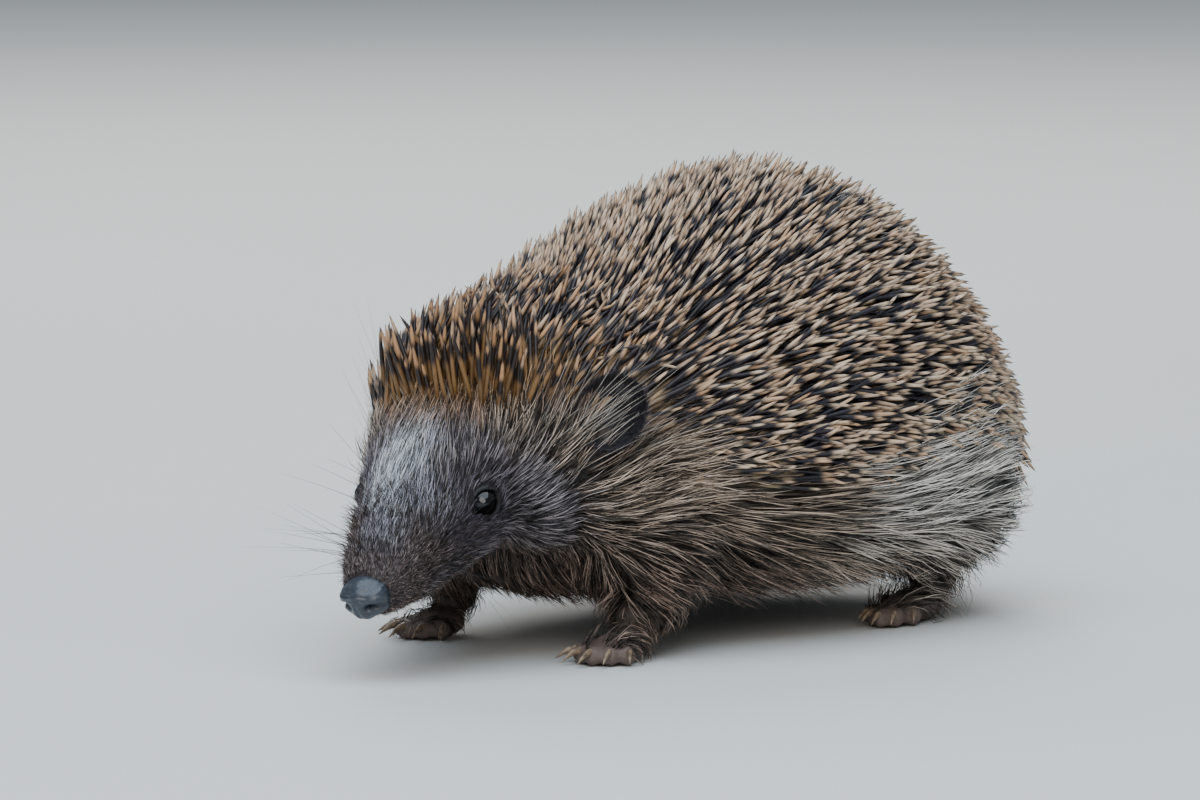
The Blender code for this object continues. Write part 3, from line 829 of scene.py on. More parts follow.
def spine_field(points):
    """The way spines stand at the points, and how golden their roots are."""
    turn = HEAD_TURN * turn_share(points[:, 1])
    made = blend(about_z(points, -turn), spine_places, np.hstack((spine_ways, spine_gold)), SPINE_SOFTNESS)
    return unit(about_z(made[:, :3] + (0, NECK_Y, 0), turn) - (0, NECK_Y, 0)), made[:, 3]


# %% [markdown]
# ## Where spines end and fur begins
#
# On a hedgehog the border is sharp. It runs over the brow, passes behind the ear, and drops down the neck
# to the skirt, a line low on the flank from the shoulder to the rump.

# %% The border
# The skirt's points are y and z, from shoulder to rump, and the crown's are out and t, from right to left.
SKIRT = (
    *((-60, 57), (-44, 47), (-34, 41), (-15, 38), (8, 40)),
    *((28, 45), (52, 47), (72, 44), (88, 39), (110, 33)),
)
CROWN = (
    *((-36, 78), (-29, 62), (-23, 54), (-17, 50), (0, 50)),
    *((10, 51), (17, 53), (23, 59), (29, 69), (36, 82)),
)
FAR_DROP = 9.0  # how much lower the skirt runs at the right of the crown
BORDER_SOFTNESS = 2.0


def border_depth(points):
    """How far inside the spiny coat points are, in mm. It is less than 0 on the fur."""
    t, out, _ = in_head(points).T
    straight = about_z(points, -HEAD_TURN * turn_share(points[:, 1]))
    lower = FAR_DROP * smoothstep(-straight[:, 0], 4, 14) * smoothstep(-straight[:, 1], 42, 56)
    skirt = straight[:, 2] - np.interp(straight[:, 1], *np.array(SKIRT, float).T) + lower
    crown = t - np.interp(out, *np.array(CROWN, float).T)
    return np.minimum(skirt, crown)


def spiny(points):
    """From 0 on the fur to 1 among the spines."""
    return smoothstep(border_depth(points), -BORDER_SOFTNESS, BORDER_SOFTNESS)


print("points of the skirt and of the crown's edge:", len(SKIRT), "and", len(CROWN))

# %% [markdown]
# ## Growing strands
#
# A hair is a tube of three sides that tapers to a point, and a spine is one of five. Both come from one
# function, which builds thousands at once as arrays, because an operator called eighty thousand times would
# take an hour. Hairs grow in tufts. One middle line for each tuft creeps over the skin a step at a time,
# following the lie of the coat, and the tuft's hairs wander round it and meet again near its tip.

# %% Places to grow from
class Ground:
    """A mesh of triangles that strands grow from."""

    def __init__(self, mesh, sort=False):
        self.points = points_of(mesh)
        self.triangles = np.empty(len(mesh.polygons) * 3, np.int64)
        mesh.polygons.foreach_get("vertices", self.triangles)
        self.triangles = self.triangles.reshape(-1, 3)
        if sort:
            # A new sphere's faces come in another order at each run, and places are drawn by that order.
            first = self.triangles.argmin(1)[:, None]
            self.triangles = np.take_along_axis(self.triangles, (first + np.arange(3)) % 3, 1)
            self.triangles = self.triangles[np.lexsort(self.triangles.T[::-1])]
        self.normals = np.empty(len(self.points) * 3, np.float32)
        mesh.vertices.foreach_get("normal", self.normals)
        self.normals = self.normals.reshape(-1, 3).astype(float)
        a, b, c = (self.points[self.triangles[:, i]] for i in range(3))
        self.areas = np.linalg.norm(np.cross(b - a, c - a), axis=1) / 2
        self.centres = (a + b + c) / 3

    def scatter(self, count, density):
        """Random points on the mesh and its normals there. density is a number for each triangle."""
        share = np.cumsum(self.areas * density)
        chosen = np.searchsorted(share, draws.random(count) * share[-1])
        a, b = draws.random((2, count, 1))
        fold = a + b > 1
        a, b = np.where(fold, 1 - a, a), np.where(fold, 1 - b, b)
        trio = self.triangles[chosen]

        def mixed(values):
            return values[trio[:, 0]] * (1 - a - b) + values[trio[:, 1]] * a + values[trio[:, 2]] * b

        return mixed(self.points), unit(mixed(self.normals))


body = Ground(skin.data)
body_tree = BVHTree.FromPolygons(body.points.tolist(), body.triangles.tolist())
print("skin area:", round(body.areas.sum()), "square mm")

# %% Even gaps, and the way back to the skin
def thin_out(points, gap):
    """Indices of the points left when none is nearer than gap to one that was kept before."""
    tree = KDTree(len(points))
    for i, point in enumerate(points.tolist()):
        tree.insert(point, i)
    tree.balance()
    kept = np.ones(len(points), bool)
    for i, point in enumerate(points.tolist()):
        if kept[i]:
            for _, other, _ in tree.find_range(point, gap):
                if other > i:
                    kept[other] = False
    return np.flatnonzero(kept)


def onto_skin(points):
    """The nearest points of the skin, without its ears, and its normals there."""
    found = [body_tree.find_nearest(point) for point in points.tolist()]
    return np.array([hit[0] for hit in found]), np.array([hit[1] for hit in found])


# %% Tufts and their hairs
STIFFNESS = 0.45  # share of its last way that a hair keeps at each step
SETTLE = 0.75  # share of its height over the skin that it keeps where the skin falls away
MEET = 0.5  # share by which a tuft's hairs meet again at the tip


def tufts_over(roots, normals, lengths, rises, steps, stray):
    """Middle lines that creep over the skin along the lie of the fur, (tufts, steps, 3), in mm."""
    spots, lines = roots, [roots]
    lean = draws.normal(0, stray, len(roots))[:, None]
    lengths = np.sqrt(np.maximum(lengths**2 - rises**2, (0.3 * lengths) ** 2))
    last = None
    for step in range(1, steps):
        way = fur_way(spots)
        way = unit(way - normals * (way * normals).sum(1, keepdims=True))
        way = unit(way + np.cross(normals, way) * lean)
        last = way if last is None else unit(way * (1 - STIFFNESS) + last * STIFFNESS)
        spots = spots + last * (lengths / (steps - 1))[:, None]
        feet, normals = onto_skin(spots)
        height = ((spots - feet) * normals).sum(1)
        height = np.maximum(rises * (step / (steps - 1)) ** 0.75, height * SETTLE)
        spots = feet + normals * height[:, None]
        lines.append(spots)
    return np.stack(lines, 1)


def hairs_in(tufts, per_tuft, spread, wave):
    """Hairs round each middle line, spread apart at the root and meeting again towards the tip."""
    lines = np.repeat(tufts, per_tuft, axis=0)
    wave = wave * smoothstep(np.linalg.norm(lines[:, -1:] - lines[:, :1], axis=2, keepdims=True), 3, 18)
    count, steps = lines.shape[:2]
    share = np.linspace(0, 1, steps)[None, :, None]
    apart = draws.normal(0, 1, (count, 1, 3)) * spread
    stray = draws.normal(0, 1, (count, 1, 3)) * spread * 1.2
    shorten = 1 - 0.35 * draws.random((count, 1, 1)) ** 2
    lines = lines[:, :1] + (lines - lines[:, :1]) * shorten
    lines = lines + apart * (1 - MEET * share) + stray * share**1.5
    swing = np.sin(share * draws.uniform(4, 9, (count, 1, 1)) + draws.uniform(0, 6.3, (count, 1, 1)))
    return lines + draws.normal(0, 1, (count, 1, 3)) * swing * share * wave


# %% Tubes along the lines
PATCH = 0.003  # of each strand on the unwrap
BODY_MIDDLE = np.array((0, 0, 40.0))
FLOOR_CLEAR = 0.4  # height that no strand goes below, in mm


def tube_faces(rings, sides):
    """The corners of one tube's faces in a row, and how many each has: quads, tip and root."""
    ring, corner = np.meshgrid(np.arange(rings - 1), np.arange(sides), indexing="ij")
    near, beside = ring * sides + corner, ring * sides + (corner + 1) % sides
    quads = np.stack((near, beside, beside + sides, near + sides), -1).reshape(-1, 4)
    last = (rings - 1) * sides
    tips = np.stack((last + np.arange(sides), last + (np.arange(sides) + 1) % sides), -1)
    tips = np.hstack((tips, np.full((sides, 1), rings * sides)))
    corners = np.concatenate((quads.ravel(), tips.ravel(), np.arange(sides)[::-1]))
    return corners, np.concatenate((np.full(len(quads), 4), np.full(sides, 3), [sides]))


def mesh_of_tubes(name, points, corners, totals):
    """One mesh of many tubes that all have these faces. points is (tubes, points of each, 3), in mm."""
    count, per = points.shape[:2]
    all_corners = (corners[None] + np.arange(count)[:, None] * per).ravel()
    all_totals = np.tile(totals, count)
    mesh = bpy.data.meshes.new(name)
    mesh.vertices.add(count * per)
    mesh.vertices.foreach_set("co", (points * MM).astype(np.float32).ravel())
    mesh.loops.add(len(all_corners))
    mesh.loops.foreach_set("vertex_index", all_corners.astype(np.int32))
    mesh.polygons.add(len(all_totals))
    mesh.polygons.foreach_set("loop_start", (np.cumsum(all_totals) - all_totals).astype(np.int32))
    mesh.polygons.foreach_set("loop_total", all_totals.astype(np.int32))
    mesh.update(calc_edges=True)
    mesh.shade_smooth()
    return mesh, all_corners


def unrolled(points):
    """The skin unrolled round the line from nose to rump, to fill the unit square."""
    away = unit(points - BODY_MIDDLE)
    flat = np.stack((np.arctan2(away[:, 0], away[:, 2]), np.arccos(np.clip(-away[:, 1], -1, 1))), 1)
    low, high = flat.min(0), flat.max(0)
    return 0.01 + 0.98 * (flat - low) / np.maximum(high - low, 1e-6)

# %% A piece made of tubes
def tubes(name, lines, widths, sides, slot, tints, tones, places_along=None):
    """One piece of closed, tapered tubes along the lines. widths is (tubes, rings), without the tips."""
    count, steps = lines.shape[:2]
    rings = steps - 1
    lines = np.stack((lines[..., 0], lines[..., 1], np.maximum(lines[..., 2], FLOOR_CLEAR)), -1)
    tangents = unit(np.gradient(lines, axis=1))
    side = unit(np.cross(tangents, unit(draws.normal(0, 1, (count, 1, 3)))))
    up = np.cross(tangents, side)
    angles = np.arange(sides)[:, None] * 2 * math.pi / sides
    round_way = side[:, :rings, None] * np.cos(angles) + up[:, :rings, None] * np.sin(angles)
    ring_points = lines[:, :rings, None] + round_way * widths[:, :, None, None] / 2
    points = np.concatenate((ring_points.reshape(count, -1, 3), lines[:, -1:]), 1)
    corners, totals = tube_faces(rings, sides)
    mesh, all_corners = mesh_of_tubes(name, points, corners, totals)

    per = points.shape[1]
    places_along = np.linspace(0, 1, steps) if places_along is None else np.array(places_along)
    along = np.append(np.repeat(places_along[:-1], sides), 1.0)
    around = np.append(np.tile(np.abs(np.linspace(-1, 1, sides)), rings), 0.5)
    write_values(mesh, "along", np.tile(along, count))
    write_values(mesh, "tone", np.repeat(tones, per))
    write_colours(mesh, "tint", np.repeat(tints, per, axis=0))
    patch = np.stack((around - 0.5, along - 0.5), -1) * PATCH
    flat = (unrolled(lines[:, 0])[:, None] + patch[None]).reshape(-1, 2)[all_corners]
    mesh.uv_layers.new(name="OFBake").data.foreach_set("uv", flat.astype(np.float32).ravel())

    obj = bpy.data.objects.new(name, mesh)
    bpy.context.scene.collection.objects.link(obj)
    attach(obj, "root")
    print(f"{name}: {count} strands, {count * int((totals - 2).sum())} triangles")
    return obj


# %% [markdown]
# ## Spines
#
# A spine is a stiff quill about twenty-two millimetres long and just over one thick. It is pale at the
# root, has one blackish band, and ends in a cream tip with a fine dark point. Each stands a little off its
# neighbours' way, so they cross. On the crown they are upright and their roots are golden. Random places
# that are thinned to an even gap look grown, where a grid would look planted. A spine that would stand
# through an ear is left out.

# %% Sizes of a spine, and the outline that its tip ends at
SPINE_LENGTH = 21.5
SPINE_WIDTH = 1.08
SPINE_GAP = 1.38
SPINE_STEPS = (0, 0.35, 0.72, 0.9, 1)  # rings along a spine
SPINE_SHAPE = (0.62, 1.0, 0.98, 0.62)  # its width at each ring
SPINE_SIDES = 5
SPINE_BEND = 1.4  # how far its middle may bow out, times four
SPINE_STRAY = 0.2  # how far a spine's way strays from its neighbours'
SPINE_ROOT = 1.0  # depth that is set into the skin
SPINE_TRIES = 60_000  # places before they are thinned to the gap
TIP_LEANS = np.linspace(-0.9, 1.0, 12)  # how far a spine may lean from the guides' way, to the skin or off it


def outline_tree():
    """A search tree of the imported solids' outer faces, without the cuts between them."""
    points, triangles = [], []
    for node in ("head", "neck", "spiny_back", "belly", "tail"):
        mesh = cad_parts[node].data
        mesh.calc_loop_triangles()
        trio = np.empty(len(mesh.loop_triangles) * 3, np.int64)
        mesh.loop_triangles.foreach_get("vertices", trio)
        triangles.append(trio.reshape(-1, 3) + sum(map(len, points)))
        points.append(node_points(node))
    points, triangles = np.concatenate(points), np.concatenate(triangles)
    whole = BVHTree.FromPolygons(points.tolist(), triangles.tolist())
    a, b, c = (points[triangles[:, i]] for i in range(3))
    normals = unit(np.cross(b - a, c - a))
    starts = (a + b + c) / 3 + normals * 0.02
    rays = zip(starts.tolist(), normals.tolist())
    outer = [whole.ray_cast(start, normal, 1.0)[0] is None for start, normal in rays]
    return BVHTree.FromPolygons(points.tolist(), triangles[np.array(outer)].tolist())


def beyond(outline, points):
    """How far outside the outline points are, in mm. It is less than 0 inside."""
    found = [outline.find_nearest(point) for point in points.tolist()]
    nearest, normals = np.array([hit[0] for hit in found]), np.array([hit[1] for hit in found])
    away = points - nearest
    return np.linalg.norm(away, axis=1) * np.where((away * normals).sum(1) < 0, -1, 1)

# %% Lean the spines to the outline
def lean_to_outline(roots, ways, normals, lengths, loose):
    """Ways and lengths with which the spines' tips end near the outline, and whether each does."""
    outline = outline_tree()
    # A loose spine, as on the crown, may end further out than one that lies in the coat.
    wanted = draws.normal(0, 1, len(roots)) * (1.1 + 0.9 * loose) - 0.6 + 1.6 * loose
    best, best_ways, best_out = np.full(len(roots), np.inf), ways.copy(), np.zeros(len(roots))
    for lean in TIP_LEANS:
        tried = unit(ways + normals * lean)
        out = beyond(outline, roots + tried * lengths[:, None])
        off = np.abs(out - wanted) + 0.8 * abs(lean) + 40 * np.maximum(0, 0.2 - (tried * normals).sum(1))
        better = off < best
        best = np.where(better, off, best)
        best_out = np.where(better, out, best_out)
        best_ways[better] = tried[better]
    spare = np.clip(best_out - 1.5 - 3.5 * loose, 0, 0.25 * lengths)
    return best_ways, lengths - spare, best_out - spare < 2.2 + 4 * loose


# %% Room for the ears
EAR_FRONT = -0.06  # share of an ear's width before its middle, from which on it is kept free
EAR_BEFORE = 16  # how far before its hollow, in mm


def over_ear(lines):
    """Whether lines pass over or through the rear part of an ear's dish."""
    made = np.zeros(len(lines), bool)
    for side, sign in SIDES.items():
        at, sideways, rise, hollow_way = ears[side]
        away = lines[:, 1:] - at
        x, y = away @ sideways * sign / EAR_WIDTH, away @ rise / EAR_HEIGHT
        spread, before = np.hypot(x, y), away @ hollow_way
        hollow = EAR_DISH * (4 * spread**2 - 1) - EAR_THICK / 2
        made |= ((spread < 0.5) & (x > EAR_FRONT) & (before > hollow) & (before < EAR_BEFORE)).any(1)
    return made


# %% Grow the spines
def grow_spines():
    roots, normals = body.scatter(SPINE_TRIES, spiny(body.centres))
    kept = thin_out(roots, SPINE_GAP)
    roots, normals = roots[kept], normals[kept]
    way, gold = spine_field(roots)
    border = smoothstep(border_depth(roots), 0, 8)
    length = SPINE_LENGTH * draws.normal(1, 0.08 + 0.08 * gold) * (0.8 + 0.2 * border)
    way = unit(way + np.clip(draws.normal(0, SPINE_STRAY, way.shape), -2 * SPINE_STRAY, 2 * SPINE_STRAY))
    way, length, ends_well = lean_to_outline(roots, way, normals, length, gold)
    roots, way, length, gold = roots[ends_well], way[ends_well], length[ends_well], gold[ends_well]
    share = np.array(SPINE_STEPS)[None, :, None]
    bend = unit(np.cross(way, draws.normal(0, 1, way.shape)))[:, None] * share * (1 - share) * SPINE_BEND
    lines = roots[:, None] - way[:, None] * SPINE_ROOT + way[:, None] * length[:, None, None] * share + bend
    along = np.linspace(0, 1, 12)[:, None]
    clear = ~over_ear(roots[:, None] + way[:, None] * length[:, None, None] * along)
    roots, lines, gold = roots[clear], lines[clear], gold[clear]
    widths = SPINE_WIDTH * draws.normal(1, 0.09, (len(roots), 1)) * np.array(SPINE_SHAPE)
    tones = draws.random(len(roots))
    tints = np.stack((gold, draws.random(len(roots)), draws.random(len(roots))), 1)
    made = []
    for name, those in zip(("spines_front", "spines_rear"), np.array_split(np.argsort(roots[:, 1]), 2)):
        shape = (name, lines[those], widths[those], SPINE_SIDES, "spines")
        made.append(tubes(*shape, tints[those], tones[those], SPINE_STEPS))
    return made


spines = grow_spines()

# %% [markdown]
# ## Fur
#
# The face has short, fine hair, lying close, that shows the shape of the skull. The cheeks, neck and flanks
# have long coarse hair over dark wool, which sweeps back and hides the border with the spines. A hair's tip
# is either pale or dark, and that mix, not one middle tone, makes the coat look wiry. The fur is grown in
# pieces, so that none gets too heavy.

# %% A piece of the coat
HAIR_SIDES = 3
HAIR_ROOT = 0.3  # depth that is set into the skin
WOOL_PER_TUFT = 5
WOOL_LENGTHS, GUARD_LENGTHS = (0.45, 0.8), (0.65, 1.2)  # as shares of the guides' length
WOOL_RISES, GUARD_RISES = (0.25, 0.7), (0.6, 1.5)  # as shares of how far the guides' tips stand off
WOOL_TONE = 0.05  # the lightest wool
PALE_TONES = (0.65, 1.4)
DARK_TONES = (0.02, 0.24)
EAR_CROSSING = 0.02  # share of the tufts before an ear that cross it
EAR_TRIM = 0.55  # how much is left of the others, which end over the ear's front edge
EAR_SHADE = 0.4  # painted shade for the ear's hollow: how dark they are beside the rest
STRAIGHT = 0.78  # a tuft whose ends are nearer than this share of its length has lost its way in a fold


def path_length(lines):
    return np.linalg.norm(np.diff(lines, axis=1), axis=2).sum(1)


def coat_piece(name, where, wool, guards, lock, steps, width, spread, stray, wave):
    """Tufts where the mask says: dark wool lying low, and longer guard hairs over it, so many to a lock."""
    lines, widths, tints, tones = [], [], [], []
    for tufts, per_tuft, is_wool in ((wool, WOOL_PER_TUFT, True), (guards, lock, False)):
        roots, normals = body.scatter(tufts, where)
        length, rise, tint = fur_values(roots)
        length = length * draws.uniform(*(WOOL_LENGTHS if is_wool else GUARD_LENGTHS), tufts)
        rise = rise * draws.uniform(*(WOOL_RISES if is_wool else GUARD_RISES), tufts)
        middles = tufts_over(roots - normals * HAIR_ROOT, normals, length, rise, steps, stray)
        short = over_ear(middles) & (draws.random(tufts) > EAR_CROSSING)
        middles[short] = middles[short, :1] + (middles[short] - middles[short, :1]) * EAR_TRIM
        kept = ~(short & over_ear(middles))
        kept &= np.linalg.norm(middles[:, -1] - middles[:, 0], axis=1) > STRAIGHT * path_length(middles)
        # Painted shade: the trimmed hairs over the ear's front edge are darkened, as if in the hollow's
        # shadow.
        tint = np.where(short[:, None], tint * EAR_SHADE, tint)
        middles, tint, length = middles[kept], tint[kept], length[kept]
        lines.append(hairs_in(middles, per_tuft, spread * (1.0 if is_wool else 0.8), wave))
        count = len(middles) * per_tuft
        taper = np.linspace(1, 0.5, steps - 1)
        fine = np.repeat(0.6 + 0.4 * smoothstep(length, 2, 9), per_tuft) * (0.85 if is_wool else 1.0)
        widths.append(width * (draws.uniform(0.8, 1.2, count) * fine)[:, None] * taper)
        tints.append(np.repeat(tint, per_tuft, axis=0))
        # More hairs are pale where the coat is silver, and where it is long.
        share = 0.36 + 0.15 * smoothstep(tint[:, 2], 0.35, 0.8) + 0.2 * smoothstep(length, 16, 24)
        pale = draws.random(count) < np.repeat(share, per_tuft)
        lit = np.where(pale, draws.uniform(*PALE_TONES, count), draws.uniform(*DARK_TONES, count))
        tones.append(draws.uniform(0.0, WOOL_TONE, count) if is_wool else lit)
    lines, widths, tints, tones = map(np.concatenate, (lines, widths, tints, tones))
    return tubes(name, lines, widths, HAIR_SIDES, "fur", tints, tones)


# %% Grow the fur
NOSE_BALD, LID_BALD, EAR_BALD = 4.6, 3.55, 7.0  # from the middle of each, in mm
TOE_TOP = 3.4


def bald(points):
    """Where no hair grows: at the nose, on the lids, under the ears, and on the soles and toes."""
    made = np.linalg.norm(points - nose_at, axis=1) < NOSE_BALD
    for side in SIDES:
        spread, _, height = near_eye(points, side)
        made |= (spread < LID_BALD) & (height > -2)
        made |= np.linalg.norm(points - ears[side][0], axis=1) < EAR_BALD
    return made | (points[:, 2] < TOE_TOP)


def into_spines(points):
    """From 1 on the fur to 0 well inside the spines: the border's hair grows on between the first of them."""
    depth = border_depth(points)
    return 1 - 0.45 * smoothstep(depth, -3, 1) - 0.55 * smoothstep(depth, 3, 10)


skin_t, skin_out, skin_up = in_head(body.centres).T
grows = into_spines(body.centres) * ~bald(body.centres)
height = body.centres[:, 2]
muzzle = (skin_t < 25) & (height > 5)
face = (skin_t < 44) & (height > 9) & ~muzzle
nape = (skin_t >= 44) & (body.centres[:, 1] < -38) & (height > 12)
flank = ~face & ~nape & ~muzzle & (height >= 14)
close = grows * muzzle * (2.2 - smoothstep(skin_t, 8, 18))
# Each piece has its tufts of wool and of guards, hairs to a lock, steps, width, spread, stray and wave.
fur = [coat_piece("fur_muzzle", close, 800, 5300, 2, 3, 0.22, 0.24, 0.2, 0.1)]
for side, sign in SIDES.items():
    half = grows * (body.centres[:, 0] * sign > 0)
    fur += [
        coat_piece("fur_face_" + side, half * face, 650, 3400, 2, 4, 0.20, 0.26, 0.10, 0.10),
        coat_piece("fur_nape_" + side, half * nape, 600, 1600, 3, 5, 0.24, 0.5, 0.13, 0.25),
        coat_piece("fur_flank_" + side, half * flank, 500, 1450, 3, 5, 0.27, 0.6, 0.09, 0.35),
    ]
on_legs = np.abs(body.centres[:, 0]) > 22
under = grows * (height < 14) * ~face * ~muzzle * np.where(on_legs, 2.5, 1)
fur.append(coat_piece("fur_belly", under, 500, 1750, 2, 4, 0.26, 0.6, 0.13, 0.35))

# %% [markdown]
# ## Bristles, whiskers and single hairs
#
# A few hairs are stiffer than the rest and stand alone: bristles and whiskers on the muzzle, and long pale
# hairs at the cheek and over the brow. They break up the coat's outline. Each is a single bent tube, with
# no tuft around it.

# %% Bristles and whiskers
STIFF_SAG = -0.15  # how much a stiff hair's own weight bends it down


def stiff_hairs(name, roots, normals, ways, lengths, lifts, width, tint, tones):
    """Single hairs that stand off the skin and bend back along the lie of the coat."""
    steps = 5
    share = np.linspace(0, 1, steps)[None, :, None]
    start = unit(ways * (1 - lifts) + normals * lifts)
    bend = ways * 0.35 + np.array((0, 0, STIFF_SAG))
    reach = lengths[:, None, None]
    lines = roots[:, None] + start[:, None] * share * reach + bend[:, None] * share**2 * reach
    widths = np.full((len(roots), 1), width) * np.linspace(1, 0.35, steps - 1)
    return tubes(name, lines, widths, HAIR_SIDES, "fur", np.tile(tint, (len(roots), 1)), tones)


def grow_bristles():
    """Dark bristles on the muzzle, which stand forwards and up."""
    roots, normals = body.scatter(1300, (skin_t > 6) & (skin_t < 26) & (skin_up > -6) & ~bald(body.centres))
    stray = draws.normal(0, 0.3, (len(roots), 3)) + (-0.3, 0, 0.45)
    ways = unit(fur_way(roots) * 0.5 + way_from_head(stray))
    lengths = draws.uniform(2.2, 4.4, len(roots)) * (0.55 + 0.45 * smoothstep(in_head(roots)[:, 0], 6, 16))
    lifts = draws.uniform(0.3, 0.75, (len(roots), 1))
    tones = draws.uniform(0, 0.35, len(roots))
    return stiff_hairs("bristles", roots, normals, ways, lengths, lifts, 0.16, UMBER, tones)


def grow_whiskers():
    """Long dark whiskers on the sides of the muzzle, and a few over the eyes."""
    cheeks = (skin_t > 10) & (skin_t < 22) & (np.abs(skin_out) > 6) & (skin_up > -2) & (skin_up < 5)
    brows = (skin_t > 24) & (skin_t < 30) & (np.abs(skin_out) > 7) & (skin_up > 7)
    roots, normals = body.scatter(46, cheeks * 1.0 + brows * 0.5)
    ways = way_from_head(draws.normal(0, 0.22, (len(roots), 3)) + (0.15, 0, 0.1)) + normals * 0.6
    lengths = draws.uniform(12, 21, len(roots))
    tones = draws.uniform(0, 0.4, len(roots))
    return stiff_hairs("whiskers", roots, normals, unit(ways), lengths, 0.55, 0.15, CHARCOAL, tones)

# %% Single long hairs
def grow_long_guards():
    """Long pale guard hairs of the cheek, which cross over the first spines behind it."""
    where = (skin_t > 48) & (skin_t < 62) & (skin_up > -8) & (skin_up < 8) & (np.abs(skin_out) > 18)
    roots, normals = body.scatter(110, where * ~bald(body.centres))
    ways = unit(fur_way(roots) + draws.normal(0, 0.16, (len(roots), 3)))
    lengths = draws.uniform(15, 26, len(roots))
    lifts = draws.uniform(0.12, 0.34, (len(roots), 1))
    tones = draws.uniform(0.5, 0.95, len(roots))
    return stiff_hairs("long_guards", roots, normals, ways, lengths, lifts, 0.18, STRAW, tones)


def grow_flyaways():
    """Single pale hairs that stand off the forehead and the brow."""
    where = (skin_t > 24) & (skin_t < 60) & (skin_up > 6) & (border_depth(body.centres) < 3)
    clear = np.minimum(*(np.linalg.norm(body.centres - eyes[side][0], axis=1) for side in SIDES)) > 9
    roots, normals = body.scatter(240, where & clear)
    ways = unit(fur_way(roots) + draws.normal(0, 0.2, (len(roots), 3)))
    lengths = draws.uniform(3.5, 6.5, len(roots))
    lifts = draws.uniform(0.4, 0.7, (len(roots), 1))
    tones = draws.uniform(0.4, 1, len(roots))
    return stiff_hairs("flyaways", roots, normals, ways, lengths, lifts, 0.13, STRAW, tones)


fur += [grow_bristles(), grow_whiskers(), grow_long_guards(), grow_flyaways()]

# %% [markdown]
# ## Ears in place
#
# The ears join the skin only now, so that the hair of the brow could creep past them and lie over their
# front edge. They get a down of their own, short and dark, a little longer and paler at the rim.

# %% Join the ears and grow their down
DOWN_PER_EAR = 2200
DOWN_WIDTH = 0.12


def add_ears():
    """Joins the ears to the skin, and gives the ground of each for its down."""
    shape = bmesh.new()
    shape.from_mesh(skin.data)
    made = []
    for side in SIDES:
        ear = bmesh.new()
        add_ear(ear, side)
        if ear.calc_volume(signed=True) < 0:
            bmesh.ops.reverse_faces(ear, faces=ear.faces)
        bmesh.ops.triangulate(ear, faces=ear.faces)
        mesh = bpy.data.meshes.new("ear")
        ear.to_mesh(mesh)
        ear.free()
        shape.from_mesh(mesh)
        made.append(Ground(mesh, sort=True))
        bpy.data.meshes.remove(mesh)
    shape.to_mesh(skin.data)
    shape.free()
    skin.data.shade_smooth()
    return made


def grow_ear_down(grounds):
    """Short down all over the ears, with a longer, paler fringe at the rim."""
    lines, tones, tints = [], [], []
    for side, ground in zip(SIDES, grounds):
        at, sideways, rise, _ = ears[side]
        roots, normals = ground.scatter(DOWN_PER_EAR, np.ones(len(ground.areas)))
        outwards = unit(roots - at + rise * 3) + draws.normal(0, 0.25, roots.shape)
        flat = unit(outwards - normals * (outwards * normals).sum(1, keepdims=True))
        x, y = (roots - at) @ sideways / EAR_WIDTH, (roots - at) @ rise / EAR_HEIGHT
        rim = smoothstep(np.hypot(x, y), 0.40, 0.49)
        length = draws.uniform(1.2, 2.4, len(roots)) * (1 + 0.3 * rim)
        share = np.linspace(0, 1, 3)[None, :, None]
        way = unit(flat + normals * draws.uniform(0.1, 0.5, (len(roots), 1)))
        lines.append(roots[:, None] - normals[:, None] * 0.1 + way[:, None] * share * length[:, None, None])
        tones.append(draws.uniform(0.0, 0.3, len(roots)) + 0.15 * rim)
        tints.append(CHARCOAL * (1 - rim[:, None]) + DUSK * rim[:, None])
    lines = np.concatenate(lines)
    widths = np.full((len(lines), 2), DOWN_WIDTH) * (1, 0.7)
    return tubes("fur_ears", lines, widths, HAIR_SIDES, "fur", np.concatenate(tints), np.concatenate(tones))


fur.append(grow_ear_down(add_ears()))

# %% [markdown]
# ## Finishes
#
# Shader maths reads best as plain expressions, so one small class wraps a socket. Adding or multiplying two
# of them puts in the Math node that does it.

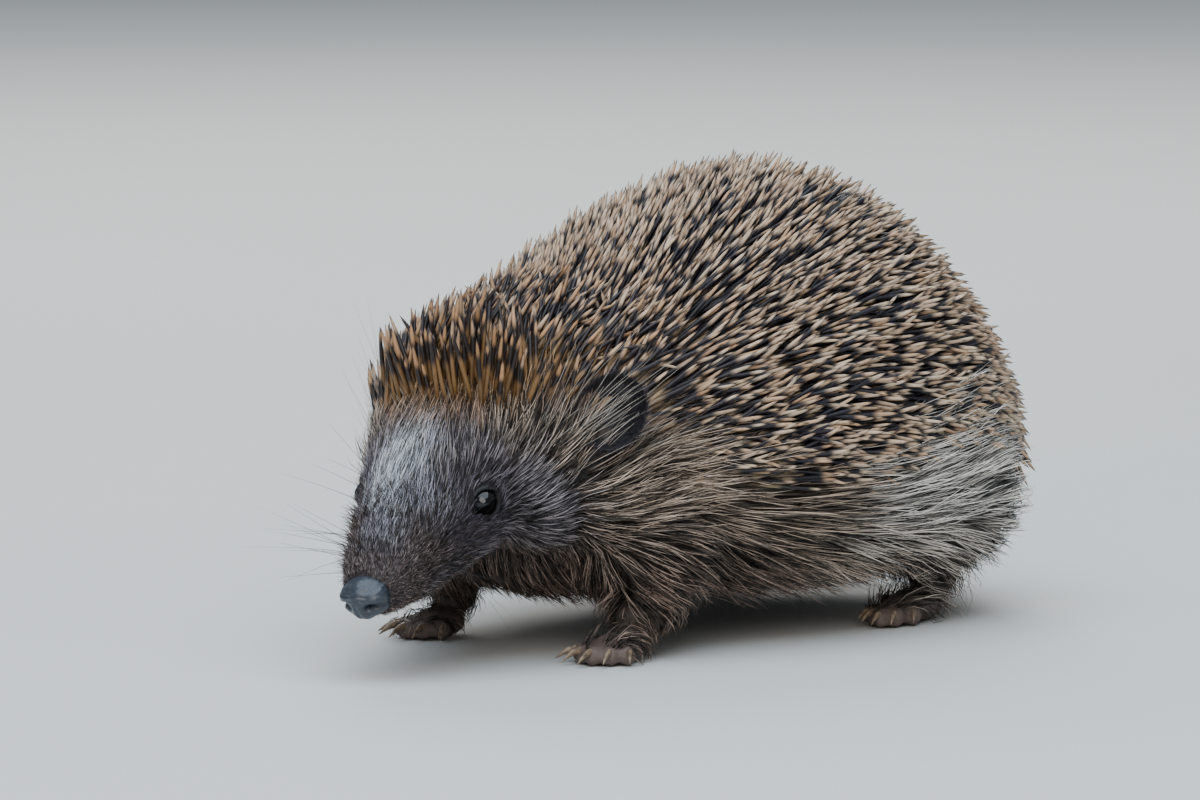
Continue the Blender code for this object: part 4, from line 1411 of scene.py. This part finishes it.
# %% A socket that can be reckoned with
class Socket:
    def __init__(self, tree, socket):
        self.tree, self.socket = tree, socket

    def node(self, kind, output=0, settings=None, **inputs):
        """A node of this type, with its settings made first. An input is a number, a tuple or a Socket."""
        node = self.tree.nodes.new(kind)
        for name, value in (settings or {}).items():
            setattr(node, name, value)
        for name, value in inputs.items():
            key = int(name[1:]) if name[0] == "i" and name[1:].isdigit() else name.replace("_", " ")
            target = node.inputs[key]
            if isinstance(value, Socket):
                self.tree.links.new(value.socket, target)
            else:
                target.default_value = value
        return Socket(self.tree, node.outputs[output])

    def maths(self, operation, *values):
        inputs = {f"i{n}": value for n, value in enumerate(values)}
        return self.node("ShaderNodeMath", settings={"operation": operation}, **inputs)

    def __add__(self, other):
        return self.maths("ADD", self, other)

    def __radd__(self, other):
        return self.maths("ADD", other, self)

    def __sub__(self, other):
        return self.maths("SUBTRACT", self, other)

    def __rsub__(self, other):
        return self.maths("SUBTRACT", other, self)

    def __mul__(self, other):
        return self.maths("MULTIPLY", self, other)

    def __rmul__(self, other):
        return self.maths("MULTIPLY", other, self)

    def step(self, low, high):
        """From 0 at low to 1 at high, eased."""
        settings = {"interpolation_type": "SMOOTHSTEP"}
        return self.node("ShaderNodeMapRange", settings=settings, Value=self, From_Min=low, From_Max=high)

    def mix(self, start, end):
        """A colour between two, by this share."""
        ends = [value if isinstance(value, Socket) else (*value, 1) for value in (start, end)]
        return self.node("ShaderNodeMix", 2, {"data_type": "RGBA"}, i0=self, i6=ends[0], i7=ends[1])

    def shaded(self, share):
        """This colour, made darker or lighter by a share."""
        grey = share.node("ShaderNodeCombineColor", Red=share, Green=share, Blue=share)
        settings = {"data_type": "RGBA", "blend_type": "MULTIPLY"}
        return self.node("ShaderNodeMix", 2, settings, i0=1.0, i6=self, i7=grey)

# %% Helpers for the finishes
def finish_of(name, roughness, **constants):
    """A material, its shader and a Socket on its Object coordinates."""
    material = bpy.data.materials.new(name)
    material.use_nodes = True
    tree = material.node_tree
    shader = tree.nodes["Principled BSDF"]
    shader.inputs["Roughness"].default_value = roughness
    for key, value in constants.items():
        shader.inputs[key.replace("_", " ")].default_value = value
    place = Socket(tree, None).node("ShaderNodeTexCoord", 3)
    return material, shader, place


def feed(shader, name, value):
    value.tree.links.new(value.socket, shader.inputs[name])


def noise(place, scale, detail):
    return place.node("ShaderNodeTexNoise", Vector=place, Scale=scale, Detail=detail)


def bump(height, strength, distance):
    return height.node("ShaderNodeBump", Strength=strength, Distance=distance, Height=height)


def colour_of(place, name):
    """The colour that the mesh holds under this name."""
    return place.node("ShaderNodeAttribute", 0, {"attribute_name": name})


def value_of(place, name):
    return place.node("ShaderNodeAttribute", 2, {"attribute_name": name})


def dress(objects, material):
    for obj in objects:
        obj.data.materials.clear()
        obj.data.materials.append(material)


# %% [markdown]
# ## Horn and hair
#
# A spine is banded along its length, so its finish reads how far **along** the strand a point lies, and its
# own **tone** shifts the bands a little, because no two spines match. Its **tint** holds how golden the
# root is, and two random shares. A hair is dark at the root: partly its own colour, and partly painted shade
# for the depth of the coat. Its **tint** is the colour of its tip, and its **tone** how light that is.

# %% Finish of the spines
ROOT_CREAM = colour(168, 146, 118)
ROOT_AMBER = colour(126, 93, 56)
BAND = colour(30, 27, 36)
BAND_BROWN = colour(44, 31, 25)
TIP_CREAM = colour(218, 194, 168)
TIP_TAN = colour(182, 138, 98)
POINT = colour(52, 38, 34)


def spine_finish():
    material, shader, place = finish_of("spine horn", 0.42, Specular_IOR_Level=0.4)
    along, tone, tint = value_of(place, "along"), value_of(place, "tone"), colour_of(place, "tint")
    gold, lot, chance = (tint.node("ShaderNodeSeparateColor", i, Color=tint) for i in range(3))
    spot = along + (tone - 0.5) * (gold * 0.25 + 0.12) - gold * 0.06
    root = gold.mix(ROOT_CREAM, ROOT_AMBER)
    tip = (lot * 0.75 + gold * 0.6).mix(TIP_CREAM, TIP_TAN)
    banded = (spot - gold * 0.1).step(0.34, 0.46).mix(root, (gold * 0.7).mix(BAND, BAND_BROWN))
    tipped = spot.step(0.73, 0.85).mix(banded, tip)
    pointed = along.step(0.89, 0.985).mix(tipped, POINT)
    streaks = noise(place, 900, 2)
    feed(shader, "Base Color", pointed.shaded((streaks * 0.5 + 0.7) * (chance * 0.5 + 0.65)))
    feed(shader, "Normal", bump(streaks, 0.25, 0.0001))
    return material


dress(spines, spine_finish())


# %% Finish of the fur
def fur_finish():
    material, shader, place = finish_of("fur", 0.42, Specular_IOR_Level=0.3)
    along, tone, tint = value_of(place, "along"), value_of(place, "tone"), colour_of(place, "tint")
    # Partly the hair's own dark root and partly painted shade: each hair is darkened towards its root, so the
    # gaps deep in the coat read dark.
    light = along.step(0.0, 0.78) * 0.94 + 0.06
    feed(shader, "Base Color", tint.shaded(light * (tone + 0.03)))
    return material


dress(fur, fur_finish())

# %% [markdown]
# ## Skin, nose, eyes and claws
#
# Under the coat the skin has the coat's own colours, only much darker, and darker still among the spines:
# that is painted shade, so that gaps read as depth. Where it is bare it shows its own: near black on the
# lids, charcoal on the ears, and a dusky brown on the feet.

# %% Finish of the skin
LID_BLACK = colour(17, 15, 19)
LID_SKIN = colour(40, 34, 39)
EAR_GREY = colour(27, 25, 29)
PAW_BROWN = colour(92, 78, 72)
SPINE_SKIN_SHADE = colour(34, 27, 24)
MUZZLE_SKIN = colour(52, 44, 46)
UNDER_COAT_SHADE = 0.12  # painted shade: how light the skin under the coat is beside the coat's tips


def skin_colours(points):
    # Painted shade: under the fur the skin takes the coat's colours, much darker, and among the spines it is
    # darker still, partly its own dark colour, so the gaps read deep.
    tints = fur_values(points)[2] * UNDER_COAT_SHADE
    spined = spiny(points)[:, None]
    tints = tints * (1 - spined) + SPINE_SKIN_SHADE * spined
    for side in SIDES:
        spread = near_eye(points, side)[0][:, None]
        lid = 1 - smoothstep(spread, 4.2, 5.6)
        rim = 1 - smoothstep(spread, 3.5, 4.4)
        tints = tints * (1 - lid) + (LID_SKIN * (1 - rim) + LID_BLACK * rim) * lid
    paw = (1 - smoothstep(points[:, 2], 5, 9))[:, None]
    muzzle = (1 - smoothstep(in_head(points)[:, 0], 5, 10))[:, None]
    tints = tints * (1 - paw) + PAW_BROWN * paw
    tints = tints * (1 - muzzle) + MUZZLE_SKIN * muzzle
    tints[len(body.points) :] = EAR_GREY
    return tints


def skin_finish():
    material, shader, place = finish_of("skin", 0.6, Specular_IOR_Level=0.4)
    tint = colour_of(place, "tint")
    creases = noise(place, 700, 5)
    pores = place.node("ShaderNodeTexVoronoi", Vector=place, Scale=1400.0)
    feed(shader, "Base Color", tint.shaded(creases * 0.7 + 0.65))
    feed(shader, "Normal", bump(creases + pores * 0.5, 0.5, 0.0003))
    return material


write_colours(skin.data, "tint", skin_colours(points_of(skin.data)))
dress([skin], skin_finish())


# %% Finishes of the nose, the eyes and the claws
NOSE_DARK, NOSE_SLATE = colour(14, 17, 23), colour(40, 49, 64)
EYE_DARK, EYE_BROWN = (0.0008, 0.0008, 0.0012), (0.003, 0.0022, 0.002)
CLAW_DARK, CLAW_HORN = colour(96, 80, 66), colour(150, 130, 108)


def nose_finish():
    wet = {"Coat_Weight": 0.8, "Coat_Roughness": 0.34, "Coat_Tint": (0.85, 0.94, 1.0, 1)}
    material, shader, place = finish_of("wet nose", 0.5, Specular_IOR_Level=0.5, **wet)
    cobbles = place.node("ShaderNodeTexVoronoi", Vector=place, Scale=2200.0)
    flat = place.node("ShaderNodeVectorMath", 0, {"operation": "MULTIPLY"}, i0=place, i1=(1.0, 1.0, 3.0))
    wrinkles = noise(flat, 700, 4)
    feed(shader, "Base Color", wrinkles.mix(NOSE_DARK, NOSE_SLATE))
    feed(shader, "Normal", bump(cobbles * 0.5 + wrinkles * 2.0, 0.8, 0.0003))
    return material


def eye_finish():
    wet = {"Coat_Roughness": 0.08, "Coat_Tint": (0.72, 0.87, 1.0, 1)}
    material, shader, place = finish_of("eye", 0.03, Specular_IOR_Level=0.03, **wet)
    # Painted highlight: the coat, with its blue tint, lies only on the upper half, to place the sky's bluish
    # reflection there.
    feed(shader, "Coat Weight", value_of(place, "sky_highlight_coat"))
    feed(shader, "Base Color", noise(place, 300, 2).mix(EYE_DARK, EYE_BROWN))
    return material


def claw_finish():
    material, shader, place = finish_of("claw horn", 0.36, Specular_IOR_Level=0.5)
    grain = noise(place, 800, 3)
    feed(shader, "Base Color", grain.step(0.3, 0.7).mix(CLAW_DARK, CLAW_HORN))
    feed(shader, "Normal", bump(grain, 0.3, 0.0001))
    return material


dress([nose_pad], nose_finish())
dress(eyeballs, eye_finish())
dress(claws, claw_finish())
print("finishes:", sorted(material.name for material in bpy.data.materials))

# %% [markdown]
# ## Floor, light and camera
#
# The model stands on a plain pale floor. A wide, cool disk overhead stands for an overcast sky, a warmer
# one in front lifts the face, and one behind picks out the tips along the back. The camera is low and far
# off, with a long lens, as it would have to be for a shy animal, and it looks at the left side from ahead.

# %% Floor and light
LOOK_AT = np.array((0, 0, 0.05))
FLOOR_PALE, FLOOR_GREY = (0.66, 0.66, 0.64), (0.60, 0.60, 0.58)
SKY = (0.80, 0.85, 0.90, 1)
SKY_STRENGTH = 0.32


def make_floor():
    shape = bmesh.new()
    bmesh.ops.create_grid(shape, x_segments=1, y_segments=1, size=6)
    floor = object_from("floor", shape)
    material, shader, place = finish_of("floor", 0.8)
    feed(shader, "Base Color", noise(place, 3, 2).mix(FLOOR_GREY, FLOOR_PALE))
    dress([floor], material)


def make_light(name, at, size, power, tint):
    light = bpy.data.lights.new(name, "AREA")
    light.shape = "DISK"
    light.size = size
    light.energy = power
    light.color = tint
    obj = bpy.data.objects.new(name, light)
    obj.location = at
    obj.rotation_euler = Vector(LOOK_AT - np.array(at)).to_track_quat("-Z", "Y").to_euler()
    bpy.context.scene.collection.objects.link(obj)


make_floor()
make_light("sky light", (0.2, -0.3, 1.5), 2.4, 44, (0.74, 0.87, 1.0))
make_light("front light", (0.9, -1.3, 0.7), 1.2, 14, (1.0, 0.96, 0.90))
make_light("back light", (-0.9, 1.0, 0.9), 0.8, 11, (1.0, 0.99, 0.97))
world = bpy.data.worlds.new("studio")
world.use_nodes = True
world.node_tree.nodes["Background"].inputs["Color"].default_value = SKY
world.node_tree.nodes["Background"].inputs["Strength"].default_value = SKY_STRENGTH
bpy.context.scene.world = world

# %% Camera
CAMERA_TURN, CAMERA_RISE = math.radians(38), math.radians(6)
CAMERA_DISTANCE = 3.0
CAMERA_LENS = 404
AIM_LEFT, AIM_UP = 0.0091, 0.0018  # from the point that the lights look at, in metres
right = np.array((math.cos(CAMERA_TURN), math.sin(CAMERA_TURN), 0))
level = np.array((math.sin(CAMERA_TURN), -math.cos(CAMERA_TURN), 0))
towards = level * math.cos(CAMERA_RISE) + np.array((0, 0, math.sin(CAMERA_RISE)))
above = np.cross(right, -towards)
target = LOOK_AT - right * AIM_LEFT + above * AIM_UP
camera = bpy.data.objects.new("camera", bpy.data.cameras.new("camera"))
camera.data.lens = CAMERA_LENS
camera.data.sensor_width = 36
camera.data.clip_end = 20
camera.location = target + towards * CAMERA_DISTANCE
camera.rotation_euler = Vector(-towards).to_track_quat("-Z", "Y").to_euler()
bpy.context.scene.collection.objects.link(camera)
bpy.context.scene.camera = camera
